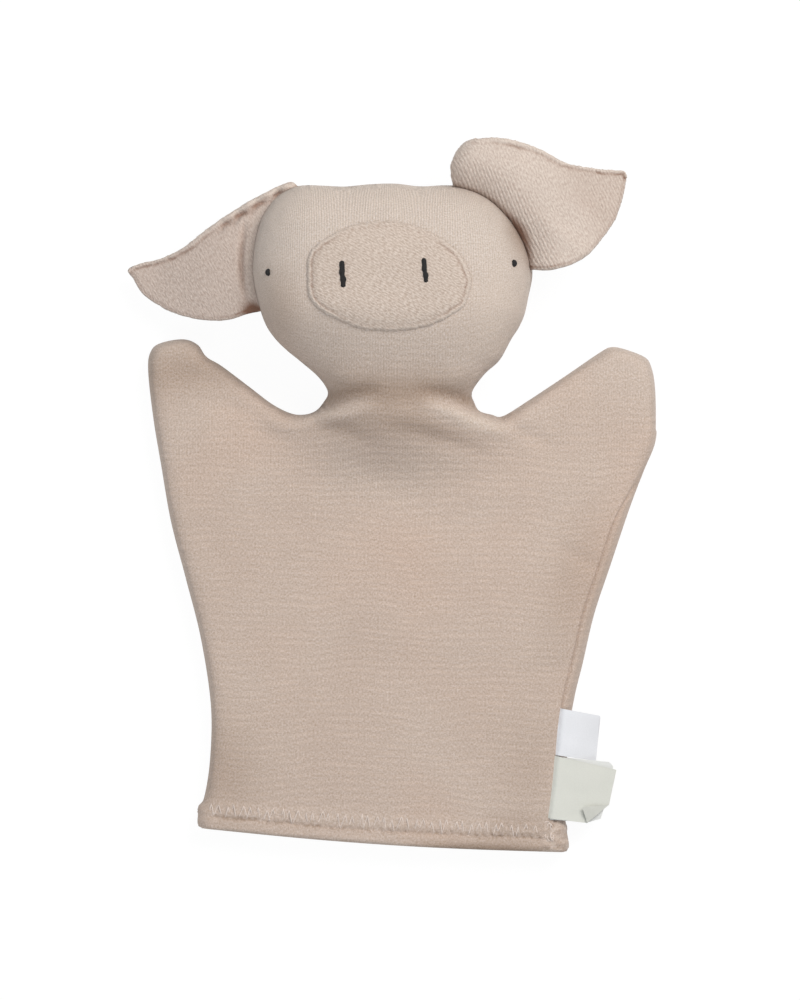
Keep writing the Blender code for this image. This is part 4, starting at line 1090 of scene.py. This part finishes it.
def hem_stitches(name, face):
    paths = []
    stitches = int((HEM_WIDTH - 13.0) / STITCH_PITCH)
    for k in range(stitches):
        high = HEM_LEFT + HEM_ALONG * (4.5 + k * STITCH_PITCH + 0.5 * math.sin(3.7 * k)) + HEM_UP * (
            STITCH_HIGH + 0.4 * math.sin(2.4 * k) + 0.35 * math.sin(5.1 * k))
        for side in (-1.0, 1.0):
            reach = 0.75 + 0.3 * math.sin(4.3 * k + 2.0 * side)
            foot = high + HEM_ALONG * side * reach * (1.3 + 0.5 * math.sin(1.9 * k))
            foot = foot - HEM_UP * reach * (STITCH_HIGH - STITCH_LOW)
            share = np.linspace(0.0, 1.0, 9)
            line = high + (foot - high) * share[:, None]
            sunk = 0.08 + 0.14 * math.sin(2.9 * k + 1.7 * side) + 0.1 * smooth((k - 14.0) / 14.0)
            rise = 0.24 * np.sin(math.pi * share ** 0.8) - sunk - 0.2 * share ** 2
            if face == "front":
                tall = surface(line) + rise
            else:
                under = middle_height(line) - half_depth(line) - hem_relief(line)
                tall = np.maximum(under, 0.25) - 0.2 * rise
            paths.append(np.column_stack([sagged(line), tall]))
    if face == "front":
        paths += knot()
    made = threads(name, paths, 0.24, PALE_THREAD)
    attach(made, "glove")
    return made


stitch_rows = [hem_stitches("hem_stitch_front", "front"), hem_stitches("hem_stitch_back", "back")]


# Snout patch: loop side out, with a raw fuzzy rim and a line of stitches just inside it.
def closed_net(outline, rings, grid, turned=0.0, rows=None):
    """Points and triangles inside a closed outline, with rings of points along its rim."""
    groups = [(outline, 0.0)]
    loop = np.vstack([outline, outline[:1]])
    for depth, room in rings:
        ring = resample(offset_line(loop, depth), room)
        ring = ring[inside(outline, ring)]
        ring = ring[line_distance(loop, ring) > 0.85 * depth]
        groups.append((ring, 0.7 * room))
    low, high = outline.min(axis=0) - 30.0, outline.max(axis=0) + 30.0
    if rows is None:
        net = hex_grid(low, high, grid)
    else:
        x, y = np.meshgrid(np.arange(low[0], high[0], rows[0]), np.arange(low[1], high[1], rows[1]))
        net = np.column_stack([x.ravel(), y.ravel()])
    middle = outline.mean(axis=0)
    c, s = math.cos(turned), math.sin(turned)
    net = (net - middle) @ np.array([[c, s], [-s, c]]) + middle
    groups.append((net[inside(outline, net)], 0.6 * (grid if rows is None else min(rows))))
    points = thinned(groups)
    return fill(outline, [], points[len(outline):])


def between(name, verts, faces, upper, lower, look, tint):
    """A closed piece between two height lists over the same triangles."""
    n = len(verts)
    faces = facing_up(verts, faces)
    points = np.vstack([np.column_stack([verts, upper]), np.column_stack([verts, lower])])
    solid = np.vstack([faces, faces[:, ::-1] + n, rim_walls(faces, n)])
    weave = np.vstack([np.column_stack([verts, np.zeros(n)]), np.column_stack([verts, np.full(n, 60.0)])])
    return add_mesh(name, points, solid, look, weave, tint=np.concatenate([tint, tint]))


RIM_BAND = 1.7
SNOUT_SEAT = 0.15
SNOUT_LOOPS = 1.65


def snout_line():
    line = curve([(SNOUT_X + x * SNOUT_WIDTH / 2.0, SNOUT_Y + y * SNOUT_HEIGHT / 2.0)
                  for x, y in SNOUT_CURVE], 30, closed=True)[::-1]
    line = resample(np.vstack([line, line[:1]]), 0.5)[:-1]
    ragged = 0.35 * lumps(line, 2.2, 5.0) + 0.35 * lumps(line, 0.9, 9.0)
    outward = unit(line - line.mean(axis=0))
    return line + outward * ragged[:, None]


def loop_field(points, angle, size, seed):
    """Uneven slanting loops, from about -1 to 1."""
    turn = math.radians(angle)
    across = points @ np.array([math.sin(turn), math.cos(turn)])
    along = points @ np.array([-math.cos(turn), math.sin(turn)])
    return 1.6 * lumps(np.column_stack([across * 1.6, along * 0.7]), size, seed)


def build_snout():
    outline = snout_line()
    rings = [(0.15, 0.5), (0.45, 0.5), (0.9, 0.55), (1.4, 0.55), (1.75, 0.55), (2.2, 0.6)]
    verts, faces = closed_net(outline, rings, 0.62)
    away = line_distance(np.vstack([outline, outline[:1]]), verts)
    base = surface(verts)
    stitch = 0.5 + 0.5 * lumps(verts, 1.3, 23.0)
    sides = 0.2 + 0.8 * smooth((np.abs(verts[:, 0] - SNOUT_X) / SNOUT_WIDTH - 0.24) / 0.16)
    line = away + 0.3 * lumps(verts, 2.5, 25.0) - RIM_BAND
    thick = 0.3 + 1.1 * dome(away / 1.3) + 0.3 * smooth((away - 1.5) / 3.0)
    thick -= (0.2 + 0.5 * stitch) * sides * bell(line, 0.4)
    loops = 0.13 * loop_field(verts, 28.0, 1.0, 11.0)
    thick += (loops + 0.3 * lumps(verts, 0.9, 21.0) * smooth((2.4 - away) / 1.0)) * smooth(away / 0.4)
    tint = sides * (0.25 * smooth((RIM_BAND - away) / 0.8) - (0.15 + 0.75 * stitch) * bell(line, 0.4))
    made = between("snout_terry", verts, faces, base + SNOUT_SEAT + thick, base + 0.03, SNOUT_TERRY, tint)
    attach(made, "head")
    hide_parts("snout_patch")


build_snout()


def snout_height(points):
    """Height of the snout's loops, for what is sewn through them."""
    return surface(points) + SNOUT_SEAT + SNOUT_LOOPS


# Nostrils and eyes: bundles of black strands sewn in and out of the cloth.
def nostril(name, top, foot, width, cad_node):
    top, foot = np.array(top), np.array(foot)
    along = (foot - top) / np.linalg.norm(foot - top)
    across = np.array([-along[1], along[0]])
    paths = []
    strands = 11
    for k in range(strands):
        share = 2.0 * k / (strands - 1) - 1.0
        layer = (k * 7) % 3
        shift = share * (width / 2.0 - 0.2)
        early = 0.35 * abs(share) + 0.16 * math.sin(k * 2.3)
        late = 0.35 * abs(share) + 0.16 * math.sin(k * 3.1)
        at = np.linspace(0.0, 1.0, 25)[:, None]
        start, end = top + along * early, foot - along * late
        step = 0.11 * np.sin(3.0 * math.pi * at + 0.6) + 0.11 * math.sin(k * 1.7) * np.sin(5.0 * math.pi * at)
        narrow = 0.92 + 0.08 * np.cos(7.0 * math.pi * at - math.pi) + 0.05 * np.sin(17.0 * at + 1.0)
        line = start + (end - start) * at + across * (shift * narrow + step)
        crown = 0.45 + 0.35 * (1.0 - share * share) + 0.12 * layer
        lift = -0.15 + crown * np.sin(math.pi * at[:, 0]) ** 0.35
        lift = lift + 0.16 * np.cos(7.0 * math.pi * at[:, 0] - math.pi)
        paths.append(np.column_stack([line, snout_height(line) + lift]))
    made = threads(name, paths, 0.25, BLACK_THREAD)
    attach(made, "head")
    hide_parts(cad_node)


def eye(name, side, cad_node):
    turn = math.radians(EYE_TURN)
    place = np.array([EYE_X + side * EYE_SPACING * math.cos(turn),
                      EYE_Y + side * EYE_SPACING * math.sin(turn)])
    normal = surface_normal(place)
    up = unit(np.array([0.0, 1.0, 0.0]) - normal * normal[1])
    right = np.cross(up, normal)
    centre = np.array([*place, float(surface(place[None])[0])])
    paths = []
    strands = 8
    for k in range(strands):
        share = 2.0 * (k + 0.5) / strands - 1.0
        half = 0.9 * EYE_HEIGHT / 2.0 * math.sqrt(1.0 - 0.85 * share * share)
        at = np.linspace(-1.0, 1.0, 9)
        crown = np.cos(0.5 * math.pi * at) ** 0.5
        line = (centre + right * share * (EYE_WIDTH / 2.0 - 0.1)
                + up * (half * at)[:, None]
                + normal * (-0.1 + (0.45 + 0.55 * (1.0 - share * share)) * crown)[:, None])
        paths.append(line)
    made = threads(name, paths, 0.2, BLACK_THREAD)
    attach(made, "head")
    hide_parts(cad_node)


nostril("nostril_stitch_left", (-19.25, 88.9), (-18.5, 78.8), 2.05, "nostril_left")
nostril("nostril_stitch_right", (11.7, 89.9), (12.75, 80.6), 1.8, "nostril_right")
eye("eye_stitch_left", -0.5, "eye_left")
eye("eye_stitch_right", 0.5, "eye_right")


# Ears: terry outside, a raw stitched upper edge, and loops that run out along the ear.
def left_ear_height(reach):
    return HEAD_Z - EAR_DROOP * smooth(reach / EAR_LENGTH)


def right_ear_height(reach):
    return (HEAD_Z + 4.0 + (EAR_ROLL_HEIGHT - 4.0) * dome(reach / EAR_ROLL_WIDTH)
            - EAR_ROLL_DROOP * smooth((reach - EAR_ROLL_WIDTH) / EAR_LENGTH))


EDGE_BAND = 2.4
EAR_LEFT_GAP = (-52.8, 70.0)


def ear_base(top, foot, gap):
    """The head's outline along an ear's base, and the ear's own edge there."""
    ends = [int(np.argmin(np.linalg.norm(FINE - np.array(head_point(p)), axis=1))) for p in (top, foot)]
    base = FINE[min(ends):max(ends) + 1]
    base = base if ends[0] < ends[1] else base[::-1]
    chord = unit(base[-1] - base[0])
    out = np.array([-chord[1], chord[0]])
    out = out if np.dot(base[0] - FINE.mean(axis=0), out) > 0.0 else -out
    seat = resample(base, 0.8)
    step = unit(np.gradient(seat, axis=0))
    away = np.stack([-step[:, 1], step[:, 0]], axis=1)
    return base, out, seat + away * np.sign(away @ out)[:, None] * gap


def ear(name, top, foot, edge, height, gap, rib_angle, raw_span, crumple, rolled, folds, look):
    """One ear; the span of its edge between two of the edge's points is raw and stitched."""
    base, out, seat = ear_base(top, foot, gap)
    marks = [base[0] + np.array(p) * EAR_LENGTH for p in edge]
    free = resample(curve([seat[0]] + marks + [seat[-1]], 24), 0.7)
    order = np.arange(len(free))
    fade = smooth(order / 6.0) * smooth((len(free) - 1 - order) / 6.0)
    free = offset_line(free, fade * (0.14 * lumps(free, 3.0, 35.0) + 0.09 * lumps(free, 1.0, 37.0)))
    outline = np.vstack([seat[::-1], free[1:-1]])
    outline = clockwise(outline)
    rings = [(d, 0.6) for d in (0.06, 0.2, 0.45, 0.8, 1.2, 1.7, 2.2, 2.6, 3.0)]
    verts, faces = closed_net(outline, rings, 0.55, math.radians(90.0 - rib_angle), (0.32, 0.55))
    faces = facing_up(verts, faces)
    reach = line_distance(seat, verts)
    rim = line_distance(free, verts)
    ends = [int(np.argmin(np.linalg.norm(free - marks[k], axis=1))) for k in raw_span]
    raw = line_distance(free[ends[0]:ends[1] + 1], verts)
    low_edge = line_distance(free[ends[1]:], verts)
    curl = line_distance(free[:ends[0] + 1], verts)
    begun = smooth(np.linalg.norm(verts - free[ends[0]], axis=1) / 9.0)
    core = np.column_stack([verts, height(reach) - rolled * (1.0 - dome(curl / 7.0)) * begun])
    normals = vertex_normals(core, faces)
    body = 0.35 + (EAR_HALF_THICKNESS - 0.35) * dome(rim / 1.5)
    stitch = 0.5 + 0.5 * lumps(verts, 1.7, 23.0)
    patchy = smooth(0.5 + 1.2 * lumps(verts, 5.0, 47.0))
    wide = EDGE_BAND * (1.0 - 0.3 * smooth((reach - 20.0) / 14.0))
    wander = raw + 0.6 * lumps(verts, 3.0, 27.0) - wide
    band = 0.35 * np.sin(math.pi * np.clip(raw / wide, 0.0, 1.0)) + 0.3 * lumps(verts, 1.2, 41.0)
    band *= smooth((wide - raw) / 0.5) * begun
    seam = (0.2 + 0.6 * stitch) * bell(wander, 0.4) * begun
    low_seam = 0.35 * stitch * bell(low_edge - 1.3, 0.35)
    close = 1.0 - smooth((reach - 6.0) / 14.0)
    waves = np.sin(verts @ np.array([0.82, 0.57]) * 0.8 + 1.6 * lumps(verts, 7.0, 43.0))
    recess = crumple * close * bell(raw - 3.4 - 0.6 * waves, 1.0) * (0.62 + 0.38 * smooth(0.5 - waves))
    frill = crumple * close * waves * bell(raw - 1.2, 1.4)
    ribbed = 0.05 + 0.95 * (1.0 - smooth((reach - 8.0) / 6.0)) + 0.55 * smooth((reach - 24.0) / 8.0)
    turn = math.radians(rib_angle)
    across = verts @ np.array([math.sin(turn), math.cos(turn)]) + 0.35 * lumps(verts, 4.0, 33.0)
    ribs = np.cos(2.0 * math.pi * across / RIB_PITCH) * ribbed * (1.0 - crumple)
    loops = 0.09 * loop_field(verts, rib_angle, 1.0, 31.0) + 0.13 * ribs
    creases = folded(verts, folds)
    foot_gap = np.linalg.norm(verts - seat[-1], axis=1)
    under = bell(np.linalg.norm(verts - np.array(EAR_LEFT_GAP), axis=1), 3.5) * crumple
    lift = body + band - seam - low_seam + loops * smooth((raw - wide) / 0.5) * smooth(rim / 0.5)
    lift += (0.35 * lumps(verts, 9.0, 51.0) + creases - 1.7 * recess + 0.6 * frill) * smooth(rim / 1.2)
    lift -= 1.2 * under
    # Tint: a paler raw edge and darker stitch lines, the cloth's own colours, and paler crumpled layers by
    # the left ear's base.
    tint = 0.3 * smooth((wide - raw) / 0.8) * begun
    tint -= (0.22 + 0.75 * stitch * patchy) * bell(wander, 0.55) * begun
    tint += 0.35 * crumple * close * bell(raw - 1.6 - 0.5 * waves, 0.6)
    # A darker stitch line along the lower edge, and painted shade in the folds' creases.
    sewn_low = 0.25 + 0.55 * (1.0 - smooth((foot_gap - 8.0) / 12.0))
    tint -= sewn_low * (0.3 + 0.7 * stitch) * bell(low_edge - 1.3, 0.4) + 0.42 * smooth(-creases / 2.2)
    # Painted shade in the recess under the crumpled edge and in the rib grooves, and painted shadow in the
    # gap under the left ear.
    tint -= 0.5 * recess + 1.5 * under + 0.26 * np.maximum(-ribs, 0.0)
    # Painted shade in the crevice where the right ear's roll meets the head, widest midway along its base.
    midway = bell(foot_gap - 15.0, 8.0)
    tint -= (1.0 - crumple) * (0.5 + 0.7 * midway) * (1.0 - smooth((reach - 0.6) / (2.2 + 2.6 * midway)))
    # Darker towards the right ear's tip, and lighter along the left ear's base.
    tint -= 0.0 if crumple else 0.10 * smooth((reach - 20.0) / 10.0)
    tint += 0.2 * crumple * (1.0 - smooth((reach - 1.5) / 1.5)) * (1.0 - under)
    tint = np.clip(tint, -1.0, 0.6)
    upper = core + normals * lift[:, None]
    lower = core - normals * (body + 0.2 * band)[:, None]
    weave = np.column_stack([verts, np.zeros(len(verts))])
    made = layered(name + "_cloth", upper, lower, faces, look, vertex_normals(upper, faces), normals,
                   weave, tint)
    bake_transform(made)
    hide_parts(name + "_front", name + "_back", name + "_root")


ear("ear_left", EAR_LEFT_TOP, EAR_LEFT_FOOT, EAR_LEFT_EDGE, left_ear_height, -0.5, 60.0, (0, 8), 1.0, 0.0,
    EAR_LEFT_FOLDS, EAR_LEFT_TERRY_SHADED)
ear("ear_right", EAR_RIGHT_TOP, EAR_RIGHT_FOOT, EAR_RIGHT_EDGE, right_ear_height, -0.8, 65.0, (3, 11), 0.0,
    8.0, EAR_RIGHT_FOLDS, EAR_RIGHT_TERRY)


# Labels: bare tapes caught in the right side seam, lying outwards over the rolled edge.
CARE_OUTLINE = [(63.5, -80.6), (79.1, -83.6), (77.4, -100.7), (61.7, -98.4)]
LOOP_OUTLINE = [(61.7, -98.6), (85.2, -104.1), (83.2, -113.2), (82.4, -117.3), (74.0, -124.3), (58.9, -122.4)]
LOOP_BEHIND = [(62.1, -99.0), (82.3, -101.1), (84.0, -102.8), (81.1, -116.3), (79.2, -122.7), (74.3, -124.0),
               (59.2, -122.9)]
LOOP_FLAP = [(82.4, -117.3), (72.1, -118.1), (74.0, -124.3)]
LABEL_SINK = 1.5


def tape_layer(outline, root, out, length, base, lift, thick, tint, raised=None):
    """One layer of a label; it comes out of the seam's groove and droops to its end."""
    outline = np.array(outline)
    outline = resample(np.vstack([outline, outline[:1]]), 0.6)[:-1]
    outline = clockwise(outline)
    verts, faces = closed_net(outline, [(0.25, 0.6), (0.6, 0.6)], 0.9)
    faces = facing_up(verts, faces)
    clear = (verts - root) @ out
    share = np.clip(clear / length, 0.0, 1.2)
    tall = base - LABEL_DROOP * share ** 2 + lift - LABEL_SINK * (1.0 - smooth(clear / 1.6))
    tall = tall + 0.4 * lumps(verts, 8.0, 61.0) * smooth(share * 3.0)
    if raised is not None:
        tall = tall + 1.6 * smooth(1.0 - np.linalg.norm(verts - np.array(raised), axis=1) / 9.0)
    n = len(verts)
    points = np.vstack([np.column_stack([verts, tall + thick]), np.column_stack([verts, tall])])
    return points, np.vstack([faces, faces[:, ::-1] + n, rim_walls(faces, n)]), np.full(2 * n, tint)


def build_label(name, layers, length, look):
    root = np.array(layers[0][0][0])
    along = unit(np.array(layers[0][0][-1]) - root)
    out = np.array([-along[1], along[0]])
    out = out if out[0] > 0.0 else -out
    base = float(surface(np.array([root, layers[0][0][-1]])).max()) + 0.3
    points, faces, tints = [], [], []
    start = 0
    for outline, lift, tint, raised in layers:
        some, tris, tones = tape_layer(outline, root, out, length, base, lift, 0.3, tint, raised)
        points.append(some)
        faces.append(tris + start)
        tints.append(tones)
        start += len(some)
    made = add_mesh(name + "_tape", np.vstack(points), np.vstack(faces), look, tint=np.concatenate(tints))
    made.data.set_sharp_from_angle(angle=math.radians(50.0))
    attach(made, name)
    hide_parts(name)


build_label("care_label", [(CARE_OUTLINE, 0.35, 0.0, None)], CARE_LABEL_LENGTH, WHITE_TAPE)
build_label("loop_label", [(LOOP_OUTLINE, 0.8, 0.0, None), (LOOP_BEHIND, 0.05, 0.6, None),
                           (LOOP_FLAP, 1.3, -0.5, LOOP_FLAP[1])], LOOP_LABEL_LENGTH, CREAM_TAPE)


# Inside the head: the finger's pocket and the filling round it.
POCKET_WIDTH = 25.0
POCKET_DEPTH = 17.0
POCKET_LENGTH = 46.0
POCKET_MOUTH = NECK_HIGH + FABRIC + 0.3


def shrunk(ring, share):
    """A ring drawn in towards its middle."""
    middle = ring.mean(axis=0)
    return middle + (ring - middle) * share


def finger_ring(y, share, extra):
    turns = np.arange(RING) * 2.0 * math.pi / RING
    z = middle_height(np.array([[NECK_X, y]]))[0]
    return np.column_stack([NECK_X + (share * POCKET_WIDTH / 2.0 + extra) * np.cos(turns), np.full(RING, y),
                            z + (share * POCKET_DEPTH / 2.0 + extra) * np.sin(turns)])


def build_inside():
    tip = POCKET_MOUTH + POCKET_LENGTH
    stations = [(0.0, 1.0), (0.12, 1.0), (0.25, 0.98), (0.4, 1.0), (0.55, 0.97), (0.7, 0.98), (0.8, 0.93),
                (0.88, 0.82), (0.94, 0.68), (1.0, 0.40)]
    spread = [head_ring(POCKET_MOUTH, 2.1)]
    mouth_ring = finger_ring(POCKET_MOUTH, 1.0, 0.0)
    for share in (0.35, 0.7, 0.9):
        spread.append(spread[0] + (mouth_ring - spread[0]) * share)
    outer_side = [ring + (0.0, FABRIC, 0.0) for ring in spread]
    for share, size in stations:
        ring = finger_ring(POCKET_MOUTH + FABRIC + share * (POCKET_LENGTH - FABRIC), size, 0.0)
        outer_side.append(ring)
    inner_side = [ring.copy() for ring in spread]
    for share, size in stations:
        ring = finger_ring(POCKET_MOUTH + share * (POCKET_LENGTH - 1.5 * FABRIC), size, -FABRIC)
        inner_side.append(ring)
    tip_in = shrunk(inner_side[-1], 0.05)
    tip_out = shrunk(outer_side[-1], 0.05)
    lining = loft("finger_pocket_lining", [tip_in] + inner_side[::-1] + outer_side + [tip_out], LINING, True)
    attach(lining, "head")
    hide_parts("finger_pocket")

    rings = []
    top = NECK_Y + 0.955 * HEAD_HEIGHT
    bottom = POCKET_MOUTH + FABRIC + 0.6
    for k, y in enumerate(np.linspace(bottom, top, 26)):
        ring = head_ring(y, 2.2)
        middle_of_ring = ring.mean(axis=0)
        tuft = 1.0 - 0.02 - 0.03 * lumps(ring[:, [0, 2]] + 3.0 * k, 8.0, 71.0)
        tuft = np.minimum(tuft, 1.0)
        ring[:, [0, 2]] = middle_of_ring[[0, 2]] + (ring - middle_of_ring)[:, [0, 2]] * tuft[:, None]
        rings.append(ring)
    apex = shrunk(rings[-1], 0.3)
    cavity = [finger_ring(bottom + share * (tip + 0.6 - bottom), size, 0.4) for share, size in stations]
    cavity_end = shrunk(cavity[-1], 0.05)
    filling = loft("head_filling", [cavity_end] + cavity[::-1] + rings + [apex], FIBRE, True)
    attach(filling, "head")
    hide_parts("head_stuffing")


build_inside()


# Floor, light and camera.
FLOOR_REACH = 2e4
FLOOR_LEVEL = -0.3


def build_stage():
    corners = [(x * FLOOR_REACH, y * FLOOR_REACH, FLOOR_LEVEL)
               for x, y in ((-1.0, -1.0), (1.0, -1.0), (1.0, 1.0), (-1.0, 1.0))]
    floor = add_mesh("floor", np.array(corners), [(0, 1, 2, 3)], None)
    look = bpy.data.materials.new("floor")
    look.use_nodes = True
    tree = look.node_tree
    tree.nodes.clear()
    path = node(tree, "ShaderNodeLightPath").outputs
    seen = maths(tree, "MAXIMUM", maths(tree, "MAXIMUM", path["Is Camera Ray"], path["Is Glossy Ray"]),
                 path["Is Transmission Ray"])
    plain = node(tree, "ShaderNodeBsdfDiffuse", {"Color": (0.8, 0.8, 0.8, 1.0)})
    pale = node(tree, "ShaderNodeBsdfDiffuse", {"Color": (0.08, 0.08, 0.08, 1.0)})
    glow = node(tree, "ShaderNodeEmission", {"Color": (1.0, 1.0, 1.0, 1.0), "Strength": 0.945})
    both = node(tree, "ShaderNodeAddShader", {0: pale.outputs[0], 1: glow.outputs[0]})
    mixed = node(tree, "ShaderNodeMixShader", {0: seen, 1: plain.outputs[0], 2: both.outputs[0]})
    end = node(tree, "ShaderNodeOutputMaterial")
    tree.links.new(mixed.outputs[0], end.inputs["Surface"])
    floor.data.materials.clear()
    floor.data.materials.append(look)


WORLD_LIGHT = 0.43
KEY_POWER = 9.3
FILL_POWER = 2.6
LAMP_DISTANCE = 1.2
LAMP_SIZE = 0.7


def add_lamp(name, power, colour, toward):
    """A round lamp that shines on the puppet from one direction."""
    lamp = bpy.data.lights.new(name, "AREA")
    lamp.energy = power
    lamp.shape = "DISK"
    lamp.size = LAMP_SIZE
    lamp.color = colour
    made = bpy.data.objects.new(name, lamp)
    toward = Vector(toward).normalized()
    made.location = toward * LAMP_DISTANCE
    made.rotation_euler = toward.to_track_quat("Z", "Y").to_euler()
    bpy.context.scene.collection.objects.link(made)


def build_light():
    world = bpy.data.worlds.new("studio")
    bpy.context.scene.world = world
    world.use_nodes = True
    tree = world.node_tree
    tree.nodes.clear()
    path = node(tree, "ShaderNodeLightPath").outputs
    soft = node(tree, "ShaderNodeBackground", {"Color": (0.97, 0.99, 1.0, 1.0), "Strength": WORLD_LIGHT})
    white = node(tree, "ShaderNodeBackground", {"Color": (1.0, 1.0, 1.0, 1.0), "Strength": 1.0})
    mixed = node(tree, "ShaderNodeMixShader", {0: path["Is Camera Ray"], 1: soft.outputs[0],
                                               2: white.outputs[0]})
    end = node(tree, "ShaderNodeOutputWorld")
    tree.links.new(mixed.outputs[0], end.inputs["Surface"])
    add_lamp("key", KEY_POWER, (1.0, 0.97, 0.93), (0.39, 0.45, 0.80))
    add_lamp("fill", FILL_POWER, (0.92, 0.97, 1.0), (-0.47, -0.40, 0.79))


CAMERA_LENS = 600.0
CAMERA_SENSOR = 36.0
FRAME_HEIGHT = 380.0
FRAME_LEVEL = 12.0
FRAME_X = 7.5 * 0.38
FRAME_Y = -4.0 * 0.38


def build_camera():
    shot = bpy.data.cameras.new("camera")
    shot.type = "PERSP"
    shot.sensor_fit = "VERTICAL"
    shot.sensor_height = CAMERA_SENSOR
    shot.lens = CAMERA_LENS
    shot.clip_end = 60.0
    eye_point = bpy.data.objects.new("camera", shot)
    away = FRAME_HEIGHT * CAMERA_LENS / CAMERA_SENSOR
    eye_point.location = (FRAME_X * METRE, FRAME_Y * METRE, (FRAME_LEVEL + away) * METRE)
    bpy.context.scene.collection.objects.link(eye_point)
    bpy.context.scene.camera = eye_point


build_stage()
build_light()
build_camera()
bpy.context.scene.view_settings.view_transform = "Standard"
